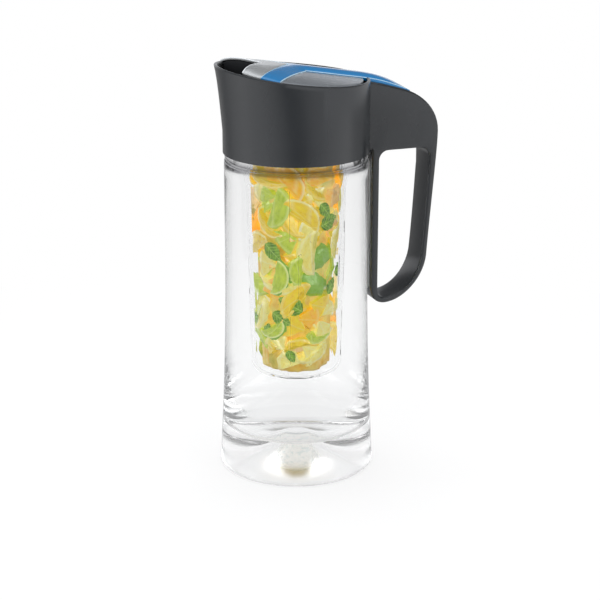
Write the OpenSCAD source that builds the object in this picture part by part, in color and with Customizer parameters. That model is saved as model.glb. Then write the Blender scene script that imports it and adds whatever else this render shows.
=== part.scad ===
// Fruit infuser pitcher: a clear jug with a thick base, a collar with a
// pouring lip and a looped handle, a sprung pouring flap with a thumb strip,
// and a slotted infuser tube that hangs from the inner lid.
// Origin: centre of the standing ring. +Z up, +X towards the handle.

/* [Jug] */
// Radius of the straight upper part of the jug
body_r = 51.2; // [44:0.1:60]
// How much wider than that the jug is where it stands
base_flare = 5.4; // [3:0.1:8]
// Height at which the flare of the jug ends
flare_h = 170; // [120:1:200]
// Height of the jug's shoulder
shoulder_h = 228.6; // [200:0.2:270]
// Thickness of the jug's wall
jug_wall = 2.6; // [2:0.1:3.4]
// Height of the inside floor
floor_h = 29; // [25:0.5:36]
// Radius of the fillet between the inside floor and the wall
floor_fillet = 12; // [6:0.5:16]
// Radius of the edge round the foot
foot_edge = 3; // [1:0.1:4]
// Width of the ring that the jug stands on
foot_ring = 5; // [3:0.1:9]
// Thickness of the floor over the hollow under the base
punt_cover = 8; // [6:0.5:16]
// Radius of the flat top of that hollow
punt_top_r = 8; // [5:0.1:14]

/* [Neck] */
// How far the neck is set in from the jug's side
neck_set = 4.6; // [4.2:0.1:5.4]
// Thickness of the neck's wall
neck_wall = 2.4; // [2:0.1:3]
// Height of the neck above the shoulder
neck_h = 23.4; // [21:0.2:24]
// Height of the groove under the collar's seat ring
groove_h = 1.6; // [1:0.1:2.4]
// Depth of that groove
groove_depth = 1.3; // [0.6:0.1:1.8]
// Height of the seat ring under the collar
seat_ring_h = 3.7; // [3:0.1:5]
// How far the seat ring is set back from the jug's side
seat_ring_inset = 0.5; // [0.2:0.1:1]
// Thickness of the silicone ring on the neck
gasket_t = 1.7; // [1.2:0.1:2.4]

/* [Collar] */
// How far the collar stands out from the jug's side
collar_proud = 0.8; // [0.4:0.1:1.8]
// Thickness of the collar's wall
collar_wall = 2.5; // [2:0.1:3]
// Height of the rim above the deck, on the jug's axis
rim_rise = 19.5; // [16:0.1:23]
// Fall of the rim towards the handle, per unit of length
rim_slope = 0.11; // [0.08:0.005:0.13]
// Radius of the hollow bow of the rim, seen from the side
rim_bow_r = 900; // [700:10:1500]
// Reach of the pouring lip beyond the collar
lip_reach = 5.4; // [3:0.1:8]
// Height above the collar's foot at which the lip starts to flare
lip_start = 16; // [8:0.5:22]

/* [Flap] */
// Height of the thumb strip's edges above the rim, on the jug's axis
strip_rise = 3.6; // [2.8:0.1:4.4]
// Fall of the thumb strip towards the handle, per unit of length
strip_slope = 0.17; // [0.15:0.005:0.18]
// Where the strip starts to turn down, inwards from the collar's side
strip_turn_set = 6; // [3:0.2:9]
// Radius of that turn
strip_turn_r = 130; // [110:1:180]
// Width of the thumb strip
strip_w = 21; // [18:0.1:21.4]
// Rise of the strip's middle above its edges
strip_crown = 3; // [1.5:0.1:3.6]
// Reach of the thumb strip beyond the collar's side
thumb_reach = 32; // [27:0.2:36]
// Thickness of the flap's outer skins
skin_t = 1.8; // [1.4:0.1:2.2]
// Gap round each skin
skin_gap = 0.35; // [0.2:0.05:0.6]
// Gap between the flap and the collar
flap_gap = 1.1; // [0.9:0.1:1.6]
// How far the arms sweep forwards for each unit sideways
sweep = 0.93; // [0.8:0.01:1.05]
// Front edge of the flap on its middle line, as a share of the collar's radius
front_share = 0.498; // [0.44:0.001:0.54]
// Front edge of the blue arms on the middle line, as such a share
arm_front_share = 0.1135; // [0.06:0.0005:0.16]
// Rear edge of the blue arms, carried on to the middle line, as such a share behind the axis
arm_rear_share = 0.223; // [0.17:0.001:0.29]
// Distance of the hinge behind the collar's side
hinge_set = 5; // [4.4:0.1:7]
// Depth of the hinge under the rim's height on the axis
hinge_drop = 12.1; // [10:0.1:14]
// Radius of the hinge pin
pin_r = 1.5; // [1:0.1:1.8]
// Radius of the lever's knuckle round the pin
knuckle_r = 3.2; // [2.8:0.1:3.4]
// Width of the lever between its bearings
lever_w = 13; // [10:0.2:14]

/* [Inner lid] */
// Height of the deck's underside above the neck
deck_rise = 17.8; // [16:0.2:18.4]
// Thickness of the deck
deck_t = 2.2; // [1.8:0.1:2.6]
// Thickness of the inner lid's skirt
skirt_t = 2.2; // [1.6:0.1:2.4]
// Land between the pouring opening and the inner lid's skirt
pour_set = 3; // [2.4:0.1:4]
// Width of the pouring opening, outwards from the axis
pour_w = 4.6; // [3.6:0.1:5.4]
// Angle that the pouring opening spans
pour_angle = 100; // [70:1:110]
// Thickness of the pouring seal
seal_t = 3; // [2:0.1:3.4]

/* [Infuser] */
// Gap between the infuser's rim and its holder, which the lugs bridge
infuser_set = 2.8; // [2.2:0.1:4]
// How much the infuser's radius narrows towards its foot
infuser_taper = 3.8; // [1:0.1:6]
// Height of the infuser's foot above the table
infuser_bottom = 71.5; // [66:0.5:80]
// Thickness of the infuser's wall
infuser_wall = 2; // [1.6:0.1:2.6]
// Radius of the edge round the infuser's foot
infuser_edge = 8; // [4:0.2:10]
// Number of slots round the infuser
slot_count = 12; // [8:1:16]
// Width of one slot
slot_w = 2.4; // [1.6:0.1:3.2]
// Plain length of the infuser between its slots and its lugs
plain_l = 36.5; // [20:0.5:50]
// Number of rows of slots
slot_rows = 3; // [2:1:3]

/* [Handle] */
// Thickness of the handle's cheeks beside the thumb strip
cheek_t = 1.65; // [1.2:0.05:3]
// Thickness of the strap beside the jug and of the grip
grip_t = 5.6; // [4.8:0.1:6.4]
// Gap between the jug and the strap
strap_gap = 2.1; // [1.8:0.1:3]
// How far the handle stands out from the collar's side
handle_out = 52.4; // [48:0.2:60]
// How far the grip draws in from its shoulder to its heel
grip_lean = 7; // [4:0.2:9]
// Length of the handle below the collar's foot
handle_l = 116.7; // [96:0.2:136]
// Drop from the collar's foot to the top of the hand opening
opening_drop = 2.5; // [1.5:0.1:6]
// Height of the handle's widest point above the collar's foot
handle_shoulder_rise = 9.2; // [7:0.1:12]
// Radius of the rounded edges of the handle
handle_edge = 1.6; // [0.8:0.1:2.2]
// Thickness of the hollow walls inside the handle
web_wall = 2.4; // [1.8:0.1:3]
// Thickness of the pad on the strap
pad_t = 1.2; // [0.8:0.1:1.6]

/* [Hidden] */

// Smoothness
fine = 180;
small = 48;
// Overrun of every cut past the face that it opens
cut = 1;
// Clearances: pieces that rest on each other, pieces that move past each
// other, a turning fit, and the bed of the flap's skins on their frame
touch = 0.1;
slide = 0.4;
running = 0.05;
bed_gap = 0.5;

// Radii and heights of the neck, the collar and the inner lid
base_r = body_r + base_flare;
punt_h = floor_h - punt_cover;
neck_r = body_r - neck_set;
collar_r = body_r + collar_proud;
seat_ring_top = shoulder_h + groove_h + seat_ring_h;
seat_ring_r = body_r - seat_ring_inset;
collar_z0 = seat_ring_top + slide;
neck_top = shoulder_h + neck_h;
neck_in_r = neck_r - neck_wall;
gasket_top = neck_top + touch + gasket_t;
deck_z0 = neck_top + deck_rise;
deck_z1 = deck_z0 + deck_t;
rim_h = deck_z0 + rim_rise;
collar_in_r = collar_r - collar_wall;
inner_lid_r = collar_in_r - touch;
skirt_in_r = inner_lid_r - skirt_t;
pour_out_r = skirt_in_r - pour_set;
pour_in_r = pour_out_r - pour_w;

// Places on the flap and the handle
strip_h = rim_h + strip_rise;
strip_turn_x = collar_r - strip_turn_set;
strip_end_x = collar_r + thumb_reach;
front_x = -collar_r * front_share;
arm_front_x = -collar_r * arm_front_share;
arm_rear_x = collar_r * arm_rear_share;
hinge_x = collar_r + hinge_set;
hinge_h = rim_h - hinge_drop;
handle_reach = collar_r + handle_out;
handle_bottom = collar_z0 - handle_l;
opening_top = collar_z0 - opening_drop;
handle_shoulder_h = collar_z0 + handle_shoulder_rise;

// Side shape of the jug: a long arc that ends in a straight wall
flare = base_r - body_r;
flare_arc_r = (flare_h * flare_h + flare * flare) / (2 * flare);
function jug_side_r(z) = z >= flare_h ? body_r
    : body_r + flare_arc_r - sqrt(pow(flare_arc_r, 2) - pow(flare_h - z, 2));

// Points of an arc round a centre
function arc(cx, cy, r, a0, a1, n) = [for (i = [0:n]) let (a = a0 + (a1 - a0) * i / n)
    [cx + r * cos(a), cy + r * sin(a)]];
// A cubic curve from p0 to p3, pulled towards p1 and p2
function bend(p0, p1, p2, p3, n) = [for (i = [0:n]) let (t = i / n, u = 1 - t)
    u * u * u * p0 + 3 * u * u * t * p1 + 3 * u * t * t * p2 + t * t * t * p3];
// A curve without its last point, for joining it to the next
function open_end(p) = [for (i = [0:len(p) - 2]) p[i]];

// Heights of the rim and of the thumb strip's edges
function rim_z(x) = rim_h - rim_slope * x + x * x / (2 * rim_bow_r);
function strip_z(x) = strip_h - strip_slope * x - pow(max(0, x - strip_turn_x), 2) / (2 * strip_turn_r);

// Plan of the collar: round at the back, drawn out to the lip in front
lip_full_share = 0.833;
function plan_power(reach) = 1 - (1 - lip_full_share) * reach / lip_reach;
function plan_pt(a, r, reach) = cos(a) >= 0 ? [r * cos(a), r * sin(a)]
    : [-(r + reach) * pow(-cos(a), plan_power(reach)), r * sin(a)];
function plan_half(x, r, reach) = x >= 0 ? sqrt(max(0, r * r - x * x))
    : r * sqrt(max(0, 1 - pow(min(1, -x / (r + reach)), 2 / plan_power(reach))));

// Plan of the flap: one gap inside the collar, and more behind, where the
// flap's edge moves back as it swings up
flap_r = collar_in_r - flap_gap;
flap_swing_gap = 1.7;
flap_back_r = flap_r - flap_swing_gap;
function flap_half(x) = x < 0 ? plan_half(x, flap_r, lip_reach)
    : flap_r * sqrt(max(0, 1 - pow(x / flap_back_r, 2)));
function flap_edge_pt(a) = cos(a) >= 0 ? [flap_back_r * cos(a), flap_r * sin(a)]
    : plan_pt(a, flap_r, lip_reach);

// Lines that cross the flap in a swept V with a rounded point
apex_r = 1.5;
function swept_x(s, y) = s - sweep * (sqrt(y * y + apex_r * apex_r) - apex_r);
// Where such a line meets the flap's outline, drawn in by an inset
function line_end(s, inset = 0, lo = 0, hi = collar_r, n = 24) = n == 0 ? lo
    : let (m = (lo + hi) / 2) m < flap_half(swept_x(s, m)) - inset
    ? line_end(s, inset, m, hi, n - 1) : line_end(s, inset, lo, m, n - 1);

// Height of the flap's outside: domed panels that rise to a crowned strip
strip_half = strip_w / 2;
flap_edge_drop = 0.5;
front_crown_share = 0.5;
function arm_half(x) = max(strip_half, (arm_rear_x - x) / sweep);
function crown_at(x) = let (tail = max(0, x - hinge_x) / (strip_end_x - hinge_x))
    strip_crown * (1 - (1 - front_crown_share) * min(1, max(0, x / front_x))) * (1 - tail * tail);
function base_z(x, y) = let (h = plan_half(x, collar_in_r, lip_reach),
        d = h * h - strip_half * strip_half,
        low = rim_z(x) - flap_edge_drop)
    x > strip_turn_x || d <= 0 ? strip_z(x)
    : low + (strip_z(x) - low) * max(0, min(1, (h * h - y * y) / d));
function flap_z(x, y) = base_z(x, y) + crown_at(x) * max(0, 1 - pow(y / arm_half(x), 2));
function on_flap(x, y, drop = 0) = [x, y, flap_z(x, y) - drop];
function lowered(g, t) = [for (row = g) [for (p = row) [p[0], p[1], p[2] - t]]];
function cut_level(g, z) = [for (row = g) [for (p = row) [p[0], p[1], z]]];

// Closed solid between two grids of points, of which each row i keeps its
// cells from lo[i] up to hi[i]
module sheet(top, bottom, lo, hi) {
    nu = len(top) - 1;
    m = len(top[0]);
    k = (nu + 1) * m;
    function kept(i, j) = i >= 0 && i < nu && j >= lo[i] && j < hi[i];
    faces = concat(
        [for (i = [0:nu - 1]) for (j = [lo[i]:hi[i] - 1]) let (a = i * m + j, b = a + m) each
            [[a, a + 1, b + 1], [a, b + 1, b], [k + a, k + b + 1, k + a + 1], [k + a, k + b, k + b + 1]]],
        [for (i = [0:nu - 1]) for (j = [lo[i]:hi[i] - 1]) let (a = i * m + j, b = a + m)
            if (!kept(i, j - 1)) each [[a, b, k + b], [a, k + b, k + a]]],
        [for (i = [0:nu - 1]) for (j = [lo[i]:hi[i] - 1]) let (a = i * m + j + 1, b = a + m)
            if (!kept(i, j + 1)) each [[a, k + b, b], [a, k + a, k + b]]],
        [for (i = [0:nu - 1]) for (j = [lo[i]:hi[i] - 1]) let (a = i * m + j)
            if (!kept(i - 1, j)) each [[a, k + a, k + a + 1], [a, k + a + 1, a + 1]]],
        [for (i = [0:nu - 1]) for (j = [lo[i]:hi[i] - 1]) let (a = (i + 1) * m + j)
            if (!kept(i + 1, j)) each [[a, a + 1, k + a + 1], [a, k + a + 1, k + a]]]);
    polyhedron(points = concat([for (r = top) each r], [for (r = bottom) each r]),
               faces = faces, convexity = 6);
}
module full_sheet(top, bottom) {
    n = len(top) - 1;
    sheet(top, bottom, [for (i = [0:n - 1]) 0], [for (i = [0:n - 1]) len(top[0]) - 1]);
}

// Jug: one turned profile
foot_out_r = base_r - foot_edge;
foot_in_r = foot_out_r - foot_ring;
shoulder_edge = 1;
neck_lip = 0.8;
punt_pull_share = [[0.42, 0.42], [0.7, 0.13]];
module jug_body() {
    side_n = 24;
    waist_h = floor_h + floor_fillet;
    in_r = body_r - jug_wall;
    outer = concat(
        [[0, punt_h]],
        bend([punt_top_r, punt_h], [foot_in_r * punt_pull_share[0][0], punt_h * punt_pull_share[0][1]],
             [foot_in_r * punt_pull_share[1][0], punt_h * punt_pull_share[1][1]], [foot_in_r, 0], 14),
        arc(foot_out_r, foot_edge, foot_edge, -90, -5, 6),
        [for (i = [1:side_n]) let (z = foot_edge + (flare_h - foot_edge) * i / side_n) [jug_side_r(z), z]],
        arc(body_r - shoulder_edge, shoulder_h - shoulder_edge, shoulder_edge, 0, 90, 4),
        [[body_r - groove_depth, shoulder_h],
         [body_r - groove_depth, shoulder_h + groove_h],
         [seat_ring_r, shoulder_h + groove_h],
         [seat_ring_r, seat_ring_top],
         [neck_r, seat_ring_top]],
        arc(neck_r - neck_lip, neck_top - neck_lip, neck_lip, 0, 90, 4));
    inner = concat(
        [[neck_in_r, neck_top]],
        bend([neck_in_r, shoulder_h], [neck_in_r, shoulder_h - floor_fillet / 3],
             [in_r, shoulder_h - floor_fillet / 3], [in_r, shoulder_h - floor_fillet], 8),
        [for (i = [0:side_n - 1]) let (z = flare_h - (flare_h - waist_h) * i / side_n)
            [jug_side_r(z) - jug_wall, z]],
        arc(jug_side_r(waist_h) - jug_wall - floor_fillet, waist_h, floor_fillet, 0, -90, 10),
        [[0, floor_h]]);
    color([0.88, 0.91, 0.9, 0.4]) rotate_extrude($fn = fine) polygon(concat(outer, inner));
}

module neck_gasket() {
    color([0.8, 0.82, 0.8]) translate([0, 0, neck_top + touch]) difference() {
        cylinder(r = neck_r - touch, h = gasket_t - touch, $fn = fine);
        translate([0, 0, -cut]) cylinder(r = neck_in_r, h = gasket_t + 2 * cut, $fn = fine);
    }
}

// Collar: rings of points up the outside, over the rim and down the inside
rim_round = 0.9;
collar_steps = 72;
lip_levels_share = [0, 0.2, 0.4, 0.58, 0.76, 0.9, 1];
lip_curl_share = 0.25;
lip_z0 = collar_z0 + lip_start;
function lip_at(share) = lip_reach * ((1 - lip_curl_share) * share + lip_curl_share * pow(share, 4));
function lip_share(z) = (z - lip_z0) / (rim_z(-collar_r) - lip_z0);
function collar_ring(share, inset, down) = [for (i = [0:collar_steps - 1])
    let (p = plan_pt(360 * i / collar_steps, collar_r - inset, lip_at(share)))
    [p[0], p[1], lip_z0 + (rim_z(p[0]) - lip_z0) * share - down]];
function flat_ring(z, r) = [for (i = [0:collar_steps - 1]) let (a = 360 * i / collar_steps)
    [r * cos(a), r * sin(a), z]];
function ring_faces(count, n) = [for (k = [0:count - 1]) for (i = [0:n - 1])
    let (j = (i + 1) % n, a = k * n, b = ((k + 1) % count) * n)
    each [[a + i, b + j, a + j], [a + i, b + i, b + j]]];
module collar_solid() {
    top = len(lip_levels_share) - 1;
    rings = concat(
        [flat_ring(collar_z0, collar_r)],
        [for (i = [0:top - 1]) collar_ring(lip_levels_share[i], 0, 0)],
        [collar_ring(1, 0, rim_round),
         collar_ring(1, rim_round * 0.3, rim_round * 0.3),
         collar_ring(1, rim_round, 0),
         collar_ring(1, collar_wall - rim_round, 0),
         collar_ring(1, collar_wall - rim_round * 0.3, rim_round * 0.3),
         collar_ring(1, collar_wall, rim_round)],
        [for (i = [top - 1:-1:0]) collar_ring(lip_levels_share[i], collar_wall, 0)],
        [flat_ring(collar_z0, collar_in_r)]);
    polyhedron(points = [for (r = rings) each r], faces = ring_faces(len(rings), collar_steps),
               convexity = 6);
}

// Pocket for the lever in the handle's web, and the screws in front of it
pocket_half = strip_half + skin_gap;
handle_w = (pocket_half + cheek_t) * 2;
pocket_end = strip_end_x + skin_gap;
pocket_depth = 20;
pocket_floor = hinge_h - pocket_depth;
block_top = hinge_h - knuckle_r - slide - 3 * touch - 3;
block_l = 10;
block_x1 = collar_r + block_l;
saddle_r = 2.7;
saddle_gap = 0.35;
saddle_y0 = lever_w / 2 + saddle_gap;
snap_share = 0.8;
screw_r = 1.9;
screw_head_r = 3.2;
screw_head_h = 2;
screw_y = 6;
screw_drop = 6.05;
screw_z = deck_z0 - screw_drop;
screw_face_x = sqrt(pow(skirt_in_r, 2) - pow(screw_y + screw_head_r, 2)) - touch;
screw_l = block_x1 - screw_face_x - 2;
screw_pad_r = screw_head_r + 1;

module screw_holes(r, x0, x1) {
    for (y = [-screw_y, screw_y]) translate([x0, y, screw_z]) rotate([0, 90, 0])
        cylinder(r = r, h = x1 - x0, $fn = small);
}
module collar_shell() {
    color([0.25, 0.26, 0.27]) difference() {
        collar_solid();
        translate([0, -pocket_half, hinge_h]) cube([collar_r + cut, 2 * pocket_half, rim_h - hinge_h]);
        screw_holes(screw_r + touch, skirt_in_r - cut, collar_r + cut);
    }
}

// Inner lid: skirt, seat on the neck's ring, and the deck with its opening
seat_web_t = 2;
skirt_rise = 1.7;
skirt_bottom = collar_z0 + skirt_rise;
deck_edge_z = lip_at(lip_share(deck_z0));
module wedge_2d(a) {
    reach = 2 * collar_r;
    polygon([[0, 0], reach * [-cos(a / 2), sin(a / 2)], [-reach, 0], reach * [-cos(a / 2), -sin(a / 2)]]);
}
module ring_2d(r1, r0) {
    difference() {
        circle(r = r1, $fn = fine);
        circle(r = r0, $fn = fine);
    }
}
module sector_2d(r1, r0, a) {
    intersection() {
        ring_2d(r1, r0);
        wedge_2d(a);
    }
}
module inner_lid() {
    color([0.3, 0.31, 0.32]) difference() {
        union() {
            translate([0, 0, skirt_bottom]) linear_extrude(deck_z0 - skirt_bottom + touch)
                ring_2d(inner_lid_r - touch, skirt_in_r);
            translate([0, 0, gasket_top + touch]) linear_extrude(seat_web_t)
                ring_2d(skirt_in_r + touch, neck_in_r - touch);
            translate([0, 0, deck_z0]) linear_extrude(deck_t) difference() {
                polygon([for (i = [0:collar_steps - 1])
                    plan_pt(360 * i / collar_steps, inner_lid_r, deck_edge_z)]);
                sector_2d(pour_out_r, pour_in_r, pour_angle);
            }
            intersection() {
                screw_pads();
                translate([0, 0, skirt_bottom])
                    cylinder(r = inner_lid_r - skirt_t / 2, h = deck_z0 - skirt_bottom, $fn = fine);
            }
        }
        screw_holes(screw_r + touch, screw_face_x - cut, inner_lid_r + cut);
    }
}
module screw_pads() {
    for (y = [-screw_y, screw_y]) translate([screw_face_x + touch, y, screw_z]) rotate([0, 90, 0])
        cylinder(r = screw_pad_r, h = inner_lid_r - screw_face_x, $fn = small);
}

// Strainer: a strip with round holes that clips into the pouring opening
strainer_t = 1.4;
strainer_holes = 15;
module pour_strainer() {
    mid_r = (pour_in_r + pour_out_r) / 2;
    pitch = pour_angle / (strainer_holes + 1);
    hole_r = (pour_out_r - pour_in_r) * 0.32;
    color([0.3, 0.31, 0.32]) translate([0, 0, deck_z0 + touch]) linear_extrude(strainer_t) difference() {
        sector_2d(pour_out_r - touch, pour_in_r + touch, pour_angle - 1);
        for (i = [1:strainer_holes]) rotate(180 - pour_angle / 2 + pitch * i)
            translate([mid_r, 0]) circle(r = hole_r, $fn = small);
    }
}

// Bayonet holder: three ledges carry the three lugs of the infuser
holder_gap = 0.2;
holder_r = pour_in_r - holder_gap;
holder_t = 2;
holder_in_r = holder_r - holder_t;
infuser_r = holder_in_r - infuser_set;
infuser_foot_r = infuser_r - infuser_taper;
ledge_t = 3;
ledge_angle = 50;
lug_angle = 30;
lug_count = 3;
ledge_in_r = infuser_r + slide;
holder_z0 = gasket_top + seat_web_t - holder_drop();
function holder_drop() = 3 * ledge_t;
module each_lug(span) {
    for (i = [0:lug_count - 1]) rotate(360 * i / lug_count) intersection() {
        children();
        wedge_2d(span);
    }
}
module infuser_holder() {
    color([0.3, 0.31, 0.32]) union() {
        translate([0, 0, holder_z0]) linear_extrude(deck_z0 - touch - holder_z0)
            ring_2d(holder_r, holder_in_r);
        translate([0, 0, holder_z0]) linear_extrude(ledge_t) each_lug(ledge_angle)
            ring_2d(holder_in_r + touch, ledge_in_r);
    }
}

// Infuser: a tapered tube with rows of slots and a drained floor
lug_z0 = holder_z0 + ledge_t + holder_gap;
lug_t = 3;
infuser_top = deck_z0 - ledge_t;
slot_gap = 8;
slot_z0 = infuser_bottom + infuser_edge + slot_gap / 2;
slot_l = (lug_z0 - plain_l - slot_z0 + slot_gap) / slot_rows - slot_gap;
drain_r = 1.8;
drain_count = 8;
drain_ring_share = 0.55;
module slot_2d() {
    translate([-slot_w / 2, slot_w / 2]) square([slot_w, slot_l - slot_w]);
    for (z = [slot_w / 2, slot_l - slot_w / 2]) translate([0, z]) circle(d = slot_w, $fn = small);
}
module infuser_tube() {
    e = infuser_edge;
    e_in = infuser_edge - infuser_wall;
    color([0.85, 0.88, 0.86, 0.4]) difference() {
        union() {
            rotate_extrude($fn = fine) polygon(concat(
                [[0, infuser_bottom]],
                arc(infuser_foot_r - e, infuser_bottom + e, e, -90, 0, 6),
                [[infuser_r, lug_z0], [infuser_r, infuser_top],
                 [infuser_r - infuser_wall, infuser_top], [infuser_r - infuser_wall, lug_z0]],
                arc(infuser_foot_r - e, infuser_bottom + e, e_in, 0, -90, 6),
                [[0, infuser_bottom + infuser_wall]]));
            translate([0, 0, lug_z0]) linear_extrude(lug_t) each_lug(lug_angle)
                ring_2d(holder_in_r - slide, infuser_r - touch);
        }
        for (row = [0:slot_rows - 1]) for (i = [0:slot_count - 1])
            rotate(360 * (i + (row % 2) / 2) / slot_count)
                translate([infuser_foot_r / 2, 0, slot_z0 + row * (slot_l + slot_gap)])
                rotate([90, 0, 90]) linear_extrude(infuser_r) slot_2d();
        for (i = [0:drain_count - 1]) rotate(360 * i / drain_count)
            translate([infuser_foot_r * drain_ring_share, 0, infuser_bottom - cut])
            cylinder(r = drain_r, h = infuser_wall + 2 * cut, $fn = small);
    }
}

// Handle: outline of the loop in the XZ plane
handle_x0 = body_r + strap_gap;
strap_x1 = handle_x0 + grip_t;
heel_x = handle_reach - grip_lean;
heel_rise = 33;
heel_h = handle_bottom + heel_rise;
toe_r = 11.2;
toe_x = handle_x0 + toe_r;
crown_set = 5;
crown_x = strip_end_x - crown_set;
wall_drop = 1.7;
pull = 15;
function wall_top_z(x) = strip_z(x)
    - wall_drop * (1 - pow(max(0, x - hinge_x) / (strip_end_x - hinge_x), 2));
top_x0 = collar_r * 0.87;
top_n = 7;
handle_top = [for (i = [0:top_n]) let (x = top_x0 + (crown_x - top_x0) * i / top_n) [x, wall_top_z(x)]];
top_end = handle_top[top_n];
shoulder_pt = [handle_reach, handle_shoulder_h];
heel_pt = [heel_x, heel_h];
toe_pt = [toe_x, handle_bottom];
handle_outline = concat(
    open_end(handle_top),
    open_end(bend(top_end, top_end + pull * [0.93, -0.34], shoulder_pt + [0, pull], shoulder_pt, 12)),
    open_end(bend(shoulder_pt, shoulder_pt - [0, pull], heel_pt + [grip_lean * 0.35, pull * 2.4], heel_pt, 12)),
    open_end(bend(heel_pt, heel_pt - [grip_lean * 0.25, pull * 1.15], toe_pt + [pull, 0], toe_pt, 14)),
    arc(toe_x, handle_bottom + toe_r, toe_r, -90, -180, 8),
    [[handle_x0, collar_z0 - slide],
     [handle_x0 - strap_gap - slide, collar_z0 - slide],
     [top_x0, collar_z0]]);

// Hand opening
open_r = 7;
open_x1 = handle_reach - grip_t;
open_heel = [heel_x - grip_t * 0.78, heel_h];
open_toe_r = toe_r - grip_t;
open_toe = [toe_x, handle_bottom + grip_t * 0.7];
open_side = [open_x1 - grip_lean * 0.16, opening_top - open_r * 1.2];
opening_outline = concat(
    arc(strap_x1 + open_r, opening_top - open_r, open_r, 180, 90, 6),
    arc(open_side[0] - open_r, opening_top - open_r, open_r, 90, 10, 6),
    open_end(bend(open_side - [0, open_r], open_side - [grip_lean * 0.1, pull],
         open_heel + [grip_lean * 0.4, pull * 2], open_heel, 10)),
    open_end(bend(open_heel, open_heel - [grip_lean * 0.3, pull], open_toe + [pull, 0], open_toe, 14)),
    arc(toe_x, open_toe[1] + open_toe_r, open_toe_r, -90, -180, 6));

// Slab with rounded edges: the outline changes by grow * edge level by level,
// and its flat ends are fans from a point that sees the whole outline
function side_dir(p, i) = let (n = len(p), d = p[(i + 1) % n] - p[(i + n - 1) % n]) [-d[1], d[0]] / norm(d);
function shifted(p, d) = [for (i = [0:len(p) - 1]) p[i] + d * side_dir(p, i)];
module rounded_slab(p, w, edge, grow, eye) {
    steps = 3;
    half_levels = [for (k = [0:steps]) let (a = 90 * k / steps)
        [w / 2 - edge + edge * sin(a), edge * (1 - cos(a))]];
    levels = concat([for (k = [steps:-1:0]) [-half_levels[k][0], half_levels[k][1]]], half_levels);
    n = len(p);
    m = len(levels);
    pts = [for (l = levels) each [for (q = shifted(p, grow * l[1])) [q[0], l[0], q[1]]]];
    eyes = [for (y = [-w / 2, w / 2]) [eye[0], y, eye[1]]];
    polyhedron(points = concat(pts, eyes), convexity = 8, faces = concat(
        [for (i = [0:n - 1]) [m * n, i, (i + 1) % n]],
        [for (i = [0:n - 1]) [m * n + 1, (m - 1) * n + (i + 1) % n, (m - 1) * n + i]],
        [for (k = [0:m - 2]) for (i = [0:n - 1]) let (j = (i + 1) % n) each
            [[k * n + i, (k + 1) * n + i, (k + 1) * n + j], [k * n + i, (k + 1) * n + j, k * n + j]]]));
}
module handle_slice(w) {
    rotate([90, 0, 0]) linear_extrude(w, center = true) children();
}
module pocket_2d() {
    top = rim_h;
    polygon([[top_x0, top], [top_x0, block_top], [block_x1, block_top], [block_x1, pocket_floor],
             [pocket_end, pocket_floor], [pocket_end, top]]);
}
module hollow_2d() {
    difference() {
        intersection() {
            polygon(shifted(handle_outline, -web_wall));
            translate([collar_r - cut, opening_top + web_wall]) square([handle_reach, rim_h - opening_top]);
        }
        translate([0, pocket_floor - web_wall]) square([pocket_end + web_wall, rim_h - pocket_floor]);
    }
}
module saddle() {
    translate([hinge_x, pocket_half + touch, 0]) {
        translate([0, 0, hinge_h]) rotate([90, 0, 0])
            cylinder(r = saddle_r, h = pocket_half + touch - saddle_y0, $fn = small);
        translate([-saddle_r, saddle_y0 - pocket_half - touch, block_top - touch])
            cube([2 * saddle_r, pocket_half + touch - saddle_y0, hinge_h - block_top + touch]);
    }
}
spring_set = 1.5;
spring_x = (hinge_x + strip_end_x) / 2 + spring_set;
spring_r = 4;
spring_wire_r = 0.6;
spring_turns = 6;
spring_post_r = spring_r - spring_wire_r - slide;
spring_post_h = 3;
module handle_shell() {
    color([0.25, 0.26, 0.27]) difference() {
        union() {
            difference() {
                rounded_slab(handle_outline, handle_w, handle_edge, -1,
                    [strap_x1 + open_r, (opening_top + block_top) / 2]);
                rounded_slab(opening_outline, handle_w + touch, handle_edge, 1,
                    [(strap_x1 + open_x1) / 2, (opening_top + handle_bottom) / 2]);
                linear_extrude(rim_h)
                    polygon([for (i = [0:fine - 1]) plan_pt(360 * i / fine, collar_r + touch, 0)]);
                handle_slice(2 * pocket_half) pocket_2d();
                handle_slice(handle_w - 2 * web_wall) hollow_2d();
                pad_recess();
            }
            saddle();
            mirror([0, 1, 0]) saddle();
            translate([spring_x, 0, pocket_floor - touch])
                cylinder(r = spring_post_r, h = spring_post_h + touch, $fn = small);
        }
        translate([hinge_x, handle_w, hinge_h]) rotate([90, 0, 0]) intersection() {
            cylinder(r = pin_r + running, h = 2 * handle_w, $fn = small);
            translate([-handle_w, -handle_w, handle_w - pocket_half])
                cube([2 * handle_w, 2 * handle_w, 2 * pocket_half]);
        }
        translate([hinge_x - pin_r * snap_share, -pocket_half, hinge_h])
            cube([2 * pin_r * snap_share, 2 * pocket_half, saddle_r + cut]);
        screw_holes(screw_r, collar_r - cut, screw_face_x + screw_l + touch);
    }
}
module handle_screws() {
    color([0.7, 0.71, 0.72]) for (y = [-screw_y, screw_y])
        translate([screw_face_x, y, screw_z]) rotate([0, 90, 0]) {
            cylinder(r = screw_r, h = screw_l, $fn = small);
            translate([0, 0, -screw_head_h]) cylinder(r = screw_head_r, h = screw_head_h, $fn = small);
        }
}

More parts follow.
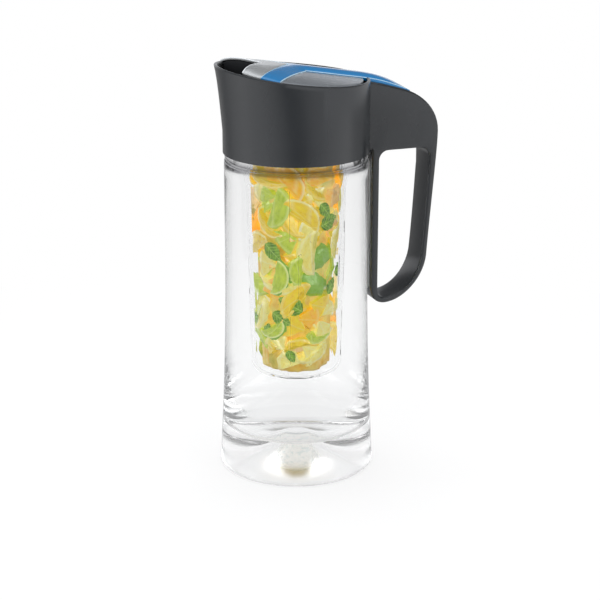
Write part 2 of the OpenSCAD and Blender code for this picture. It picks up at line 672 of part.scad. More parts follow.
// Pad let into the strap's inner face
pad_w = 17;
pad_sunk_share = 0.6;
pad_z0 = handle_bottom + toe_r;
pad_z1 = opening_top - open_r;
pad_r = 3;
module pad_plate(grow, t) {
    w = pad_w + 2 * grow;
    h = pad_z1 - pad_z0 + 2 * grow;
    r = pad_r + grow;
    rotate([90, 0, 90]) linear_extrude(t) union() {
        translate([-w / 2 + r, pad_z0 - grow]) square([w - 2 * r, h]);
        translate([-w / 2, pad_z0 - grow + r]) square([w, h - 2 * r]);
        for (x = [-1, 1]) for (y = [pad_z0 - grow + r, pad_z1 + grow - r])
            translate([x * (w / 2 - r), y]) circle(r = r, $fn = small);
    }
}
module pad_recess() {
    translate([handle_x0 - cut, 0, 0]) pad_plate(touch, cut + pad_t * pad_sunk_share);
}
module strap_pad() {
    color([0.8, 0.82, 0.78]) translate([handle_x0 - pad_t * (1 - pad_sunk_share) - touch, 0, 0])
        pad_plate(0, pad_t);
}

// Flap frame: plate, ribs, shelf for the seal, and the lever to the hinge
frame_t = 1.6;
frame_inset = 1.4;
frame_s0 = front_x + 2;
frame_s1 = collar_in_r - 6;
frame_rows = 8;
arm_n = 36;
rib_t = 1.6;
wall_inset = 3.4;
rib_h = 5;
shelf_t = 2;
shelf_margin = 1.2;
shelf_z0 = deck_z1 + touch + seal_t + touch;
lever_drop = 0.5;
lever_t = 2.4;
lever_end = strip_end_x - 8;
spring_seat_z = hinge_h - 6.2;
spring_seat_r = spring_r + spring_wire_r + slide;
strip_screw_r = 1.1;
strip_screw_head_r = 2.4;
strip_screw_head_h = 1.4;
strip_screw_shares = [0.423, 0.769];
strip_screw_x = collar_r * strip_screw_shares;
strip_boss_r = 2.4;
strip_boss_h = 3.2;
function under_skin_z(x, y) = flap_z(x, y) - skin_t - bed_gap;
function frame_row(s, inset, drop) = let (e = line_end(s, inset)) [for (j = [0:arm_n])
    let (y = e * (2 * j / arm_n - 1)) on_flap(swept_x(s, y), y, drop)];
module swept_wall(s, t, inset, z0) {
    top = [for (d = [0, t]) frame_row(s + d, inset, skin_t + bed_gap + frame_t / 2)];
    full_sheet(top, cut_level(top, z0));
}
module swept_rib(s, t, h) {
    top = [for (d = [0, t]) frame_row(s + d, frame_inset + t, skin_t + bed_gap + frame_t / 2)];
    full_sheet(top, lowered(top, h));
}
module shelf_2d() {
    v_y = collar_r;
    intersection() {
        circle(r = pour_out_r + shelf_margin, $fn = fine);
        union() {
            difference() {
                wedge_2d(pour_angle + 8);
                circle(r = pour_in_r - shelf_margin, $fn = fine);
            }
            polygon(concat([for (i = [-12:12]) let (y = v_y * i / 12) [swept_x(frame_s0 + rib_t, y), y]],
                           [[-2 * collar_r, v_y], [-2 * collar_r, -v_y]]));
        }
    }
}
module lever_2d() {
    n = 14;
    x0 = arm_rear_x;
    y = lever_w / 2;
    top = [for (i = [0:n]) let (x = x0 + (lever_end - x0) * i / n) [x, under_skin_z(x, y) - lever_drop]];
    under = [for (i = [n:-1:0]) if (top[i][0] > hinge_x + knuckle_r) top[i] - [0, lever_t]];
    polygon(concat(top, under,
        [[hinge_x + knuckle_r * 0.8, hinge_h], [hinge_x - knuckle_r * 0.8, hinge_h + 2 * slide],
         [frame_s1, hinge_h + 2 * slide], [x0, under_skin_z(x0, y) - rib_h]]));
}
module flap_frame() {
    rows = [for (i = [0:frame_rows]) frame_s0 + (frame_s1 - frame_s0) * i / frame_rows];
    plate = [for (s = rows) frame_row(s, frame_inset, skin_t + bed_gap)];
    color([0.22, 0.23, 0.24]) difference() {
        union() {
            full_sheet(plate, lowered(plate, frame_t));
            swept_wall(frame_s0 + touch, rib_t, frame_inset + wall_inset, shelf_z0 + shelf_t / 2);
            swept_rib(arm_front_x, rib_t, rib_h);
            swept_rib(arm_rear_x + rib_h, rib_t, rib_h);
            translate([0, 0, shelf_z0]) linear_extrude(shelf_t) shelf_2d();
            handle_slice(lever_w) lever_2d();
            translate([hinge_x, lever_w / 2, hinge_h]) rotate([90, 0, 0])
                cylinder(r = knuckle_r, h = lever_w, $fn = small);
            translate([spring_x, 0, spring_seat_z])
                cylinder(r = spring_seat_r, h = under_skin_z(spring_x + spring_seat_r, lever_w / 2)
                    - lever_drop - lever_t / 2 - spring_seat_z, $fn = small);
            translate([spring_x, 0, spring_seat_z - spring_post_h])
                cylinder(r = spring_post_r, h = spring_post_h + touch, $fn = small);
        }
        translate([hinge_x, lever_w / 2 + cut, hinge_h]) rotate([90, 0, 0])
            cylinder(r = pin_r + running, h = lever_w + 2 * cut, $fn = small);
        for (x = strip_screw_x) translate([x, 0, 0]) {
            cylinder(r = strip_screw_r + touch, h = rim_h + pocket_depth, $fn = small);
            translate([0, 0, strip_boss_z(x) - touch])
                cylinder(r = strip_boss_r + touch, h = pocket_depth, $fn = small);
            translate([0, 0, strip_head_z(x) - pocket_depth])
                cylinder(r = strip_screw_head_r + touch, h = pocket_depth + touch, $fn = small);
        }
    }
}
function strip_boss_z(x) = under_skin_z(x, strip_boss_r) - strip_boss_h;
function strip_head_z(x) = strip_boss_z(x) - lever_t;

// Skins of the flap
skin_rows = 5;
module front_panel() {
    s1 = arm_front_x - skin_gap;
    top = [for (i = [0:skin_rows]) frame_row(front_x + (s1 - front_x) * i / skin_rows, 0, 0)];
    color([0.72, 0.73, 0.74]) full_sheet(top, lowered(top, skin_t));
}
strip_cols = 4;
arm_cols = 10;
strip_rows = 14;
strip_end_round = 2.4;
module thumb_strip() {
    cols = arm_cols + strip_cols;
    function col_y(j, e) = let (a = abs(j), side = sign(j))
        side * (a <= strip_cols ? strip_half * a / strip_cols
            : strip_half + (e - strip_half) * (a - strip_cols) / arm_cols);
    arms = [for (i = [0:skin_rows]) let (s = arm_front_x + (arm_rear_x - arm_front_x) * i / skin_rows,
            e = line_end(s))
        [for (j = [-cols:cols]) let (y = col_y(j, e)) on_flap(swept_x(s, y), y)]];
    strip = [for (i = [1:strip_rows]) let (t = i / strip_rows, s = arm_rear_x + (strip_end_x - arm_rear_x) * t)
        [for (j = [-cols:cols]) let (y = col_y(j, strip_half),
                x = s + (swept_x(s, y) - s) * pow(1 - t, 2) - strip_end_round * pow(y / strip_half, 4) * t * t)
            on_flap(x, y)]];
    top = concat(arms, strip);
    lo = [for (i = [0:len(top) - 2]) i < skin_rows ? 0 : arm_cols];
    hi = [for (i = [0:len(top) - 2]) i < skin_rows ? 2 * cols : arm_cols + 2 * strip_cols];
    color([0.03, 0.42, 0.72]) difference() {
        union() {
            sheet(top, lowered(top, skin_t), lo, hi);
            for (x = strip_screw_x) translate([x, 0, strip_boss_z(x)])
                cylinder(r = strip_boss_r, h = strip_boss_h + bed_gap + skin_t / 2, $fn = small);
        }
        for (x = strip_screw_x) translate([x, 0, strip_boss_z(x) - cut])
            cylinder(r = strip_screw_r, h = cut + strip_boss_h + touch, $fn = small);
    }
}
module strip_screws() {
    color([0.7, 0.71, 0.72]) for (x = strip_screw_x) {
        translate([x, 0, strip_head_z(x) - touch - strip_screw_head_h])
            cylinder(r = strip_screw_head_r, h = strip_screw_head_h, $fn = small);
        translate([x, 0, strip_head_z(x) - touch - touch])
            cylinder(r = strip_screw_r, h = lever_t + strip_boss_h, $fn = small);
    }
}

panel_rows = 12;
panel_cols = 10;
panel_tip = 2;
module side_panel() {
    s0 = arm_rear_x + skin_gap;
    y0 = strip_half + skin_gap;
    e = line_end(s0);
    a0 = 180 - asin(e / flap_r);
    a1 = asin((y0 + panel_tip) / flap_r);
    x0 = swept_x(s0, y0);
    x1 = flap_edge_pt(a1)[0] - panel_tip;
    top = [for (i = [0:panel_rows]) let (t = i / panel_rows, a = a0 + (a1 - a0) * t,
            q = flap_edge_pt(a), p = [x0 + (x1 - x0) * t, y0])
        [for (j = [0:panel_cols]) let (u = j / panel_cols, w = p + (q - p) * u)
            on_flap(i == 0 ? swept_x(s0, w[1]) : w[0], w[1])]];
    full_sheet(top, lowered(top, skin_t));
}
module side_panel_right() {
    color([0.72, 0.73, 0.74]) side_panel();
}
module side_panel_left() {
    color([0.72, 0.73, 0.74]) mirror([0, 1, 0]) side_panel();
}

module pour_seal() {
    margin = shelf_margin - slide;
    color([0.75, 0.77, 0.75]) translate([0, 0, deck_z1 + touch]) linear_extrude(seal_t)
        sector_2d(pour_out_r + margin, pour_in_r - margin, pour_angle + 6);
}
module hinge_pin() {
    l = 2 * (pocket_half - touch);
    color([0.7, 0.71, 0.72]) translate([hinge_x, l / 2, hinge_h]) rotate([90, 0, 0])
        cylinder(r = pin_r, h = l, $fn = small);
}

// Spring: one wire wound round the post under the thumb
module lever_spring() {
    curl = 8;
    sides = 6;
    n = spring_turns * curl;
    z0 = pocket_floor + touch + spring_wire_r;
    z1 = spring_seat_z - touch - spring_wire_r;
    pts = [for (i = [0:n]) let (a = 360 * i / curl, c = [cos(a), sin(a)], z = z0 + (z1 - z0) * i / n)
        each [for (k = [0:sides - 1]) let (b = 360 * k / sides, r = spring_r + spring_wire_r * cos(b))
            [spring_x + r * c[0], r * c[1], z + spring_wire_r * sin(b)]]];
    echo(least_gap = (z1 - z0) / spring_turns - 2 * spring_wire_r);
    color([0.7, 0.71, 0.72]) polyhedron(points = pts, faces = concat(
        [[for (k = [sides - 1:-1:0]) k]],
        [[for (k = [0:sides - 1]) n * sides + k]],
        [for (i = [0:n - 1]) for (k = [0:sides - 1]) let (m = (k + 1) % sides, a = i * sides, b = a + sides)
            each [[a + k, a + m, b + m], [a + k, b + m, b + k]]]));
}

jug_body();
neck_gasket();
collar_shell();
inner_lid();
pour_strainer();
infuser_holder();
infuser_tube();
handle_shell();
handle_screws();
strap_pad();
flap_frame();
front_panel();
side_panel_left();
side_panel_right();
thumb_strip();
strip_screws();
pour_seal();
hinge_pin();
lever_spring();
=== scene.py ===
"""Looks of the fruit infuser pitcher: finishes, fruit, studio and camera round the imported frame."""

import logging
import math
import random
from dataclasses import dataclass, field
from enum import Enum
from typing import Any, Iterable, Mapping, Sequence

import bpy
from mathutils import Matrix, Vector, noise
from mathutils.bvhtree import BVHTree


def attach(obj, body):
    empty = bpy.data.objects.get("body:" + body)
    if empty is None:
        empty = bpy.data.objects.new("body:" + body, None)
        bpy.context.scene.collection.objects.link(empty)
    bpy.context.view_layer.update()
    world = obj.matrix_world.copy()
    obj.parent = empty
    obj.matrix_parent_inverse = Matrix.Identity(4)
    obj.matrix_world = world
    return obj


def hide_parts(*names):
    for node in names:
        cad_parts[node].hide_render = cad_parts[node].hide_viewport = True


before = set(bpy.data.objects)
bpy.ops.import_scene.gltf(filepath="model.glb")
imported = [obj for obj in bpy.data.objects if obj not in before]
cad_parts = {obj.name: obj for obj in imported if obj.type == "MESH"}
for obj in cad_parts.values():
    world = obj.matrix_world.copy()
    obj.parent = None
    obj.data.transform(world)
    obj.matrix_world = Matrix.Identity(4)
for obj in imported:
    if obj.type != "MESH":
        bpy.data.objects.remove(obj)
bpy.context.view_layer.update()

LOG = logging.getLogger("pitcher")
MM = 0.001
LAMP_SHARE = 0.985
HAZE_DARK = (0.8, 0.81, 0.82)
HAZE_PALE = (0.86, 0.87, 0.87)
BLACK = (0.0, 0.0, 0.0)
WHITE = (1.0, 1.0, 1.0)
Point = tuple[float, float, float]
Colour = tuple[float, float, float]
Profile = list[tuple[float, float]]
Shape = tuple[list[Point], list[list[int]]]


def shade(red: int, green: int, blue: int) -> Colour:
    """Gives the linear colour of three display values.

    Args:
        red: Red from 0 to 255.
        green: Green from 0 to 255.
        blue: Blue from 0 to 255.

    Returns:
        The colour as light.
    """

    def linear(value: int) -> float:
        """Turns one display value into light."""
        share = value / 255
        return share / 12.92 if share <= 0.04045 else ((share + 0.055) / 1.055) ** 2.4

    return linear(red), linear(green), linear(blue)


class Wire:
    """A value or colour that leaves a node, and that sums and products take."""

    def __init__(self, board: "Board", socket: bpy.types.NodeSocket) -> None:
        """Keeps the board and the output socket."""
        self.board = board
        self.socket = socket

    def worked(self, operation: str, first: Any, second: Any = 0.0) -> "Wire":
        """Adds one Math node.

        Args:
            operation: Name of the Math node's operation.
            first: Number or wire for the first input.
            second: Number or wire for the second input.

        Returns:
            The wire that carries the result.
        """
        return self.board.add("ShaderNodeMath", {"operation": operation}, {0: first, 1: second})

    def __add__(self, other: Any) -> "Wire":
        """Adds a number or wire."""
        return self.worked("ADD", self, other)

    def __radd__(self, other: Any) -> "Wire":
        """Adds this wire to a number."""
        return self.worked("ADD", other, self)

    def __sub__(self, other: Any) -> "Wire":
        """Takes a number or wire away."""
        return self.worked("SUBTRACT", self, other)

    def __rsub__(self, other: Any) -> "Wire":
        """Takes this wire away from a number."""
        return self.worked("SUBTRACT", other, self)

    def __mul__(self, other: Any) -> "Wire":
        """Multiplies by a number or wire."""
        return self.worked("MULTIPLY", self, other)

    def __rmul__(self, other: Any) -> "Wire":
        """Multiplies a number by this wire."""
        return self.worked("MULTIPLY", other, self)

    def __truediv__(self, other: Any) -> "Wire":
        """Divides by a number or wire."""
        return self.worked("DIVIDE", self, other)

    def __pow__(self, other: Any) -> "Wire":
        """Raises to a power."""
        return self.worked("POWER", self, other)

    def low(self) -> "Wire":
        """Gives the size of the value, without its sign."""
        return self.worked("ABSOLUTE", self)

    def part(self) -> "Wire":
        """Gives what follows the decimal point."""
        return self.worked("FRACT", self)

    def most(self, other: Any) -> "Wire":
        """Gives the larger of this and another value."""
        return self.worked("MAXIMUM", self, other)


class Board:
    """The nodes of one material or of the world."""

    def __init__(self, tree: bpy.types.NodeTree) -> None:
        """Takes a node tree and clears it."""
        self.tree = tree
        tree.nodes.clear()

    def add(
        self,
        kind: str,
        settings: Mapping[str, Any] | None = None,
        sockets: Mapping[int | str, Any] | None = None,
        out: int | str = 0,
    ) -> Wire:
        """Adds one node.

        Args:
            kind: The node's type.
            settings: Its settings, set first. "stops" holds a ramp's places and colours.
            sockets: Values or wires of its inputs, by index or name.
            out: Index or name of the output to hand back.

        Returns:
            The wire of that output, or of the first one.
        """
        node = self.tree.nodes.new(kind)
        for name, value in (settings or {}).items():
            if name == "stops":
                self.fill_ramp(node.color_ramp, value)
            else:
                setattr(node, name, value)
        for name, value in (sockets or {}).items():
            if isinstance(value, Wire):
                self.tree.links.new(value.socket, node.inputs[name])
            else:
                node.inputs[name].default_value = value
        return Wire(self, node.outputs[out]) if len(node.outputs) else Wire(self, None)

    @staticmethod
    def fill_ramp(ramp: bpy.types.ColorRamp, stops: Sequence[tuple[float, Colour]]) -> None:
        """Gives a ramp its stops.

        Args:
            ramp: The ramp of a Color Ramp node, which has two stops.
            stops: Place and colour of each stop, in rising order.
        """
        while len(ramp.elements) < len(stops):
            ramp.elements.new(1.0)
        for element, (place, colour) in zip(ramp.elements, stops):
            element.position = place
            element.color = (*colour, 1.0)

    def mix(self, first: Any, second: Any, share: Any) -> Wire:
        """Mixes two colours.

        Args:
            first: Colour or wire shown at share 0.
            second: Colour or wire shown at share 1.
            share: Number or wire from 0 to 1.

        Returns:
            The mixed colour.
        """
        sides = {
            6: first if isinstance(first, Wire) else (*first, 1.0),
            7: second if isinstance(second, Wire) else (*second, 1.0),
        }
        return self.add("ShaderNodeMix", {"data_type": "RGBA"}, {0: share, **sides}, 2)

    def place(self) -> Wire:
        """Gives the point in the piece's own space, in metres."""
        return self.add("ShaderNodeTexCoord", out="Object")

    def axis(self, name: str, point: Wire | None = None) -> Wire:
        """Gives one coordinate of a point, by default of the piece's own space."""
        return self.add("ShaderNodeSeparateXYZ", {}, {0: point or self.place()}, name)

    def stretched(self, scale: Point) -> Wire:
        """Gives the point in the piece's own space, scaled along each axis."""
        sockets = {0: self.place(), 1: scale}
        return self.add("ShaderNodeVectorMath", {"operation": "MULTIPLY"}, sockets)

    def grain(self, scale: float, detail: float = 3.0, point: Wire | None = None) -> Wire:
        """Adds soft noise.

        Args:
            scale: Waves per metre.
            detail: How many finer layers it has.
            point: Point to read it at, or None for the piece's own space.

        Returns:
            The noise from 0 to 1.
        """
        sockets = {"Vector": point or self.place(), "Scale": scale, "Detail": detail}
        return self.add("ShaderNodeTexNoise", {}, sockets)

    def spread(self, value: Wire, low: float, high: float) -> Wire:
        """Maps a value from 0 to 1 onto a range, held inside it."""
        return self.rise(value, 0.0, 1.0, low, high)

    def rise(self, value: Wire, start: float, end: float, low: float = 0.0, high: float = 1.0) -> Wire:
        """Maps one range of a value onto another, held inside it.

        Args:
            value: The value.
            start: The value that gives low.
            end: The value that gives high.
            low: The result at start.
            high: The result at end.

        Returns:
            The mapped value.
        """
        return self.add("ShaderNodeMapRange", {}, {0: value, 1: start, 2: end, 3: low, 4: high})

    def length(self, point: Wire) -> Wire:
        """Gives how far a point is from the origin."""
        return self.add("ShaderNodeVectorMath", {"operation": "LENGTH"}, {0: point}, "Value")

    def turn(self, point: Wire | None = None) -> Wire:
        """Gives the angle of a point round the Z axis in radians, from +X."""
        sockets = {0: self.axis("Y", point), 1: self.axis("X", point)}
        return self.add("ShaderNodeMath", {"operation": "ARCTAN2"}, sockets)

    def tinted(self, value: Wire, stops: Sequence[tuple[float, Colour]]) -> Wire:
        """Gives the colour that stops have at a value."""
        return self.add("ShaderNodeValToRGB", {"stops": stops}, {0: value})

    def ray(self, kind: str) -> Wire:
        """Gives 1 for rays of a kind, else 0."""
        return self.add("ShaderNodeLightPath", out=f"Is {kind} Ray")

    def blend(self, first: Wire, second: Wire, share: Wire) -> Wire:
        """Mixes two shaders, the second shown at share 1."""
        return self.add("ShaderNodeMixShader", {}, {0: share, 1: first, 2: second})

    def cleared(self, body: Wire) -> Wire:
        """Lets lamps shine through a shader.

        Args:
            body: The shader.

        Returns:
            The shader that is clear to them.
        """
        tint = (LAMP_SHARE, LAMP_SHARE, LAMP_SHARE, 1.0)
        clear = self.add("ShaderNodeBsdfTransparent", {}, {"Color": tint})
        return self.blend(body, clear, self.ray("Shadow"))

    def bump(self, height: Wire, depth: float, strength: float = 1.0) -> Wire:
        """Turns a height into a normal.

        Args:
            height: Height from 0 to 1.
            depth: Depth of that height in millimetres.
            strength: How strongly it shows.

        Returns:
            The normal.
        """
        sockets = {"Strength": strength, "Distance": depth * MM, "Height": height}
        return self.add("ShaderNodeBump", {}, sockets)

    def skin(self, **sockets: Any) -> Wire:
        """Adds the Principled shader, its sockets named with underscores."""
        named = {name.replace("_", " "): value for name, value in sockets.items()}
        return self.add("ShaderNodeBsdfPrincipled", {}, named)


@dataclass(frozen=True)
class Finish:
    """What a piece's surface is like."""

    name: str

    def surface(self, board: Board) -> Wire:
        """Builds the finish's shader.

        Args:
            board: The board to build it on.

        Returns:
            The shader.
        """
        raise NotImplementedError

    def clouded(self, board: Board, colour: Colour, deep: float, share: Wire) -> Wire:
        """Mixes a colour with a deeper one, deep being that one's share of it."""
        return board.mix(tuple(c * deep for c in colour), colour, share)

    def made(self) -> bpy.types.Material:
        """Gives the finish's material, made at its first use.

        Returns:
            The material.
        """
        found = bpy.data.materials.get(self.name)
        if found:
            return found
        material = bpy.data.materials.new(self.name)
        material.use_nodes = True
        board = Board(material.node_tree)
        board.add("ShaderNodeOutputMaterial", {}, {"Surface": self.surface(board)})
        return material


@dataclass(frozen=True)
class MouldedPlastic(Finish):
    """Satin moulded plastic with a fine spark texture."""

    colour: Colour
    roughness: float = 0.3
    grain_depth: float = 0.003
    gloss: float = 0.5
    cloud_scale: float = 45.0
    spark_scale: float = 1500.0

    def surface(self, board: Board) -> Wire:
        """Mottles the colour and the sheen slightly and adds the fine texture.

        Args:
            board: The board to build it on.

        Returns:
            The shader.
        """
        cloud = board.grain(self.cloud_scale)
        fine = board.grain(self.spark_scale, 2.0)
        return board.skin(
            Base_Color=self.clouded(board, self.colour, 0.9, cloud),
            Roughness=board.spread(cloud, self.roughness - 0.02, self.roughness + 0.03),
            Specular_IOR_Level=self.gloss,
            Normal=board.bump(fine, self.grain_depth, 0.25),
        )


@dataclass(frozen=True)
class SilverSkin(Finish):
    """Metallised skin, brushed across the pitcher."""

    colour: Colour
    roughness: float = 0.26
    metal: float = 0.72
    brush: Point = (60.0, 2200.0, 400.0)

    def surface(self, board: Board) -> Wire:
        """Draws fine brush lines.

        Args:
            board: The board to build it on.

        Returns:
            The shader.
        """
        lines = board.grain(1.0, 4.0, board.stretched(self.brush))
        return board.skin(
            Base_Color=self.clouded(board, self.colour, 0.95, lines),
            Roughness=board.spread(lines, self.roughness - 0.02, self.roughness + 0.03),
            Normal=board.bump(lines, 0.001, 0.03),
            Metallic=self.metal,
        )


@dataclass(frozen=True)
class GlossSkin(Finish):
    """Glossy coloured skin under a clear coat."""

    colour: Colour

    def surface(self, board: Board) -> Wire:
        """Clouds the colour slightly under an even coat.

        Args:
            board: The board to build it on.

        Returns:
            The shader.
        """
        cloud = board.grain(60.0)
        return board.skin(
            Base_Color=self.clouded(board, self.colour, 0.9, cloud),
            Roughness=board.spread(cloud, 0.12, 0.17),
            Coat_Weight=0.8,
            Coat_Roughness=0.05,
            Normal=board.bump(board.grain(500.0), 0.01, 0.15),
        )


@dataclass(frozen=True)
class ClearPlastic(Finish):
    """Clear moulded plastic whose edges look darker, and which lets lamps through."""

    face: Colour
    edge: Colour
    edge_power: float = 3.0
    index: float = 1.47
    milk: float = 0.0
    # heights: painted shade, the share of the tint kept at each height in millimetres; none by default
    heights: tuple[tuple[float, float], ...] = ()
    ripple_scale: float = 22.0
    haze_power: float = 7.0

    def surface(self, board: Board) -> Wire:
        """Tints the wall by how steeply it is seen, darkens it with painted shade by height, and clears it
        for lamps.

        Args:
            board: The board to build it on.

        Returns:
            The shader.
        """
        facing = board.add("ShaderNodeLayerWeight", {}, {"Blend": 0.5}, "Facing")
        ripple = board.grain(self.ripple_scale, 1.0)
        tint = board.mix(self.face, self.edge, facing**self.edge_power)
        # Painted shade: the tint is multiplied by the share kept at this height.
        if self.heights:
            top = self.heights[-1][0]
            stops = [(z / top, (level, level, level * 0.985 + 0.015)) for z, level in self.heights]
            painted_shade = board.tinted(board.axis("Z") / (top * MM), stops)
            settings = {"data_type": "RGBA", "blend_type": "MULTIPLY"}
            tint = board.add("ShaderNodeMix", settings, {0: 1.0, 6: tint, 7: painted_shade}, 2)
        body = board.skin(
            Base_Color=tint,
            Roughness=0.0,
            IOR=self.index,
            Transmission_Weight=1.0,
            Normal=board.bump(ripple, 0.25, 0.25),
        )
        if self.milk:
            haze = board.skin(Base_Color=board.mix(HAZE_DARK, HAZE_PALE, ripple), Roughness=0.3)
            body = board.blend(body, haze, facing**self.haze_power * self.milk)
        return board.cleared(body)


@dataclass(frozen=True)
class ClearDome(Finish):
    """Clear hollow under the base, whose colour is a painted reflection of what lies above it."""

    top: Colour = (0.9, 0.92, 0.94)
    ring: Colour = (0.42, 0.46, 0.48)
    cream: Colour = (1.0, 0.985, 0.94)
    fleck: Colour = (0.66, 0.75, 0.74)
    wedge: Colour = (0.72, 0.76, 0.75)
    flank: Colour = (0.98, 0.98, 0.96)
    rim: Colour = (0.93, 0.91, 0.86)
    foot: float = 48.0
    index: float = 1.35
    fleck_scale: float = 420.0
    patch_scale: float = 38.0

    def surface(self, board: Board) -> Wire:
        """Paints the reflection in the hollow: a ringed top, flecked cream flanks, grey-green patches and a
        beige rim.

        Args:
            board: The board to build it on.

        Returns:
            The shader.
        """
        away = board.length(board.stretched((1.0, 1.0, 0.0))) / MM
        spots = board.rise(board.grain(self.fleck_scale), 0.5, 0.66)
        patches = board.rise(board.grain(self.patch_scale, 1.0), 0.42, 0.58)
        near = (0.8, 0.8, 0.8)
        zone = [(0.0, BLACK), (0.2, BLACK), (0.28, WHITE), (0.5, near), (0.62, BLACK), (1.0, BLACK)]
        bands = [(0.0, self.top), (0.13, self.top), (0.15, self.ring), (0.175, self.ring), (0.2, self.cream),
                 (0.55, self.cream), (0.75, self.flank), (0.86, self.rim), (1.0, self.rim)]
        share = away / self.foot
        # Painted reflection: bands, flecks and patches laid out by distance from the axis.
        tint = board.mix(board.tinted(share, bands), self.fleck, spots * board.tinted(share, zone))
        tint = board.mix(tint, self.wedge, patches * board.rise(away, 24.0, 34.0))
        body = board.skin(Base_Color=tint, Roughness=0.2, IOR=self.index, Transmission_Weight=1.0)
        return board.cleared(body)


@dataclass(frozen=True)
class SoftRubber(Finish):
    """Milky silicone."""

    colour: Colour

    def surface(self, board: Board) -> Wire:
        """Clouds the milky colour and dulls it.

        Args:
            board: The board to build it on.

        Returns:
            The shader.
        """
        cloud = board.grain(90.0)
        return board.skin(
            Base_Color=self.clouded(board, self.colour, 0.9, cloud),
            Roughness=board.spread(cloud, 0.42, 0.55),
            Normal=board.bump(board.grain(700.0), 0.02, 0.3),
        )


@dataclass(frozen=True)
class DrawnSteel(Finish):
    """Plain steel of screws, pin and spring."""

    colour: Colour = (0.56, 0.57, 0.58)

    def surface(self, board: Board) -> Wire:
        """Adds fine drawing marks.

        Args:
            board: The board to build it on.

        Returns:
            The shader.
        """
        marks = board.grain(900.0)
        return board.skin(
            Base_Color=self.clouded(board, self.colour, 0.8, marks),
            Roughness=board.spread(marks, 0.22, 0.4),
            Metallic=1.0,
        )


@dataclass(frozen=True)
class CutFruit(Finish):
    """Citrus: rind outside, pith under it, flesh in segments inside."""

    flesh: Colour
    deep: Colour
    pith: Colour
    rind: Colour
    radius: float
    half_length: float
    segments: int = 9
    rind_share: float = 0.96
    pith_share: float = 0.9
    pith_strength: float = 0.75
    # glow is painted light: the strength with which the fruit sends out its own colour, though it is no lamp.
    glow: float = 0.36
    skin_width: float = 0.04

    def surface(self, board: Board) -> Wire:
        """Finds the zone from the distance to the core and draws it.

        Args:
            board: The board to build it on.

        Returns:
            The shader.
        """
        size, half = self.radius * MM, self.half_length * MM
        far = board.length(board.stretched((1 / size, 1 / size, 1 / half)))
        core = board.length(board.stretched((1.0, 1.0, 0.0)))
        spoke = ((board.turn() * (self.segments / math.tau) + 0.5).part() - 0.5).low()
        skin = board.rise((spoke * core / size) * -1.0 + self.skin_width, 0.0, self.skin_width, 0.0, 0.35)
        sacs = board.grain(330.0, 3.0, board.stretched((1.0, 1.0, 0.45)))
        fibre = board.add("ShaderNodeTexVoronoi", {}, {"Vector": board.place(), "Scale": 420.0})
        juice = board.mix(self.deep, self.flesh, board.spread(sacs, -0.6, 1.6))
        pulp = board.mix(juice, self.pith, skin)
        edge = board.rise(far, self.pith_share - 0.08, self.pith_share, 0.0, self.pith_strength)
        inner = board.mix(pulp, self.pith, edge)
        peel = board.rise(far, self.rind_share - 0.02, self.rind_share)
        pores = self.clouded(board, self.rind, 0.82, board.grain(800.0))
        whole = board.mix(inner, pores, peel)
        relief = board.grain(160.0, 2.0) + fibre * 0.25
        return board.skin(
            Base_Color=whole,
            Roughness=board.spread(sacs, 0.18, 0.42),
            Coat_Weight=0.9,
            Coat_Roughness=0.1,
            # Painted glow: the fruit's own colour sent out as light.
            Emission_Color=whole,
            Emission_Strength=self.glow,
            Normal=board.bump(relief, 1.6, 0.6),
        )


@dataclass(frozen=True)
class MintLeaf(Finish):
    """Mint leaf with a pale midrib and side veins."""

    blade: Colour
    dark: Colour
    vein: Colour
    # glow is painted light: the strength with which the leaf sends out its own colour, though it is no lamp.
    glow: float = 0.3
    vein_gap: float = 2.6
    rib_width: float = 0.5

    def surface(self, board: Board) -> Wire:
        """Draws the midrib along X and slanted side veins.

        Args:
            board: The board to build it on.

        Returns:
            The shader.
        """
        x, y = board.axis("X"), board.axis("Y")
        slant = ((x - y.low() * 0.8) * (1 / (self.vein_gap * MM))).part() - 0.5
        veins = board.rise(slant.low(), 0.0, 0.16, 0.8, 0.0)
        rib = board.rise(y.low(), 0.0, self.rib_width * MM, 1.0, 0.0)
        cloud = board.grain(260.0)
        leaf = board.mix(self.dark, self.blade, board.spread(cloud, -0.8, 2.0))
        lines = veins.most(rib)
        whole = board.mix(leaf, self.vein, lines * 0.8)
        return board.skin(
            Base_Color=whole,
            Roughness=board.spread(cloud, 0.3, 0.5),
            # Painted glow: the leaf's own colour sent out as light.
            Emission_Color=whole,
            Emission_Strength=self.glow,
            Normal=board.bump(1.0 - lines, 0.5, 0.6),
        )


@dataclass(frozen=True)
class Pulp(Finish):
    """Crushed fruit between the pieces."""

    pale: Colour
    full: Colour
    green: Colour
    # glow is painted light: the strength with which the pulp sends out its own colour, though it is no lamp.
    glow: float = 0.4

    def surface(self, board: Board) -> Wire:
        """Mixes patches of pale, yellow and green pulp with fibres.

        Args:
            board: The board to build it on.

        Returns:
            The shader.
        """
        patches = board.spread(board.grain(70.0, 2.0), -1.2, 2.2)
        tints = board.spread(board.grain(48.0, 1.0, board.stretched((1.0, 1.0, 0.7))), -2.2, 1.8)
        fibres = board.grain(420.0, 4.0, board.stretched((1.0, 1.0, 0.35)))
        flesh = board.mix(self.pale, self.full, patches)
        whole = board.mix(board.mix(flesh, self.green, tints), self.pale, board.spread(fibres, -0.5, 0.9))
        return board.skin(
            Base_Color=whole,
            Roughness=board.spread(fibres, 0.25, 0.45),
            # Painted glow: the pulp's own colour sent out as light.
            Emission_Color=whole,
            Emission_Strength=self.glow,
            Normal=board.bump(fibres, 0.8, 0.5),
        )


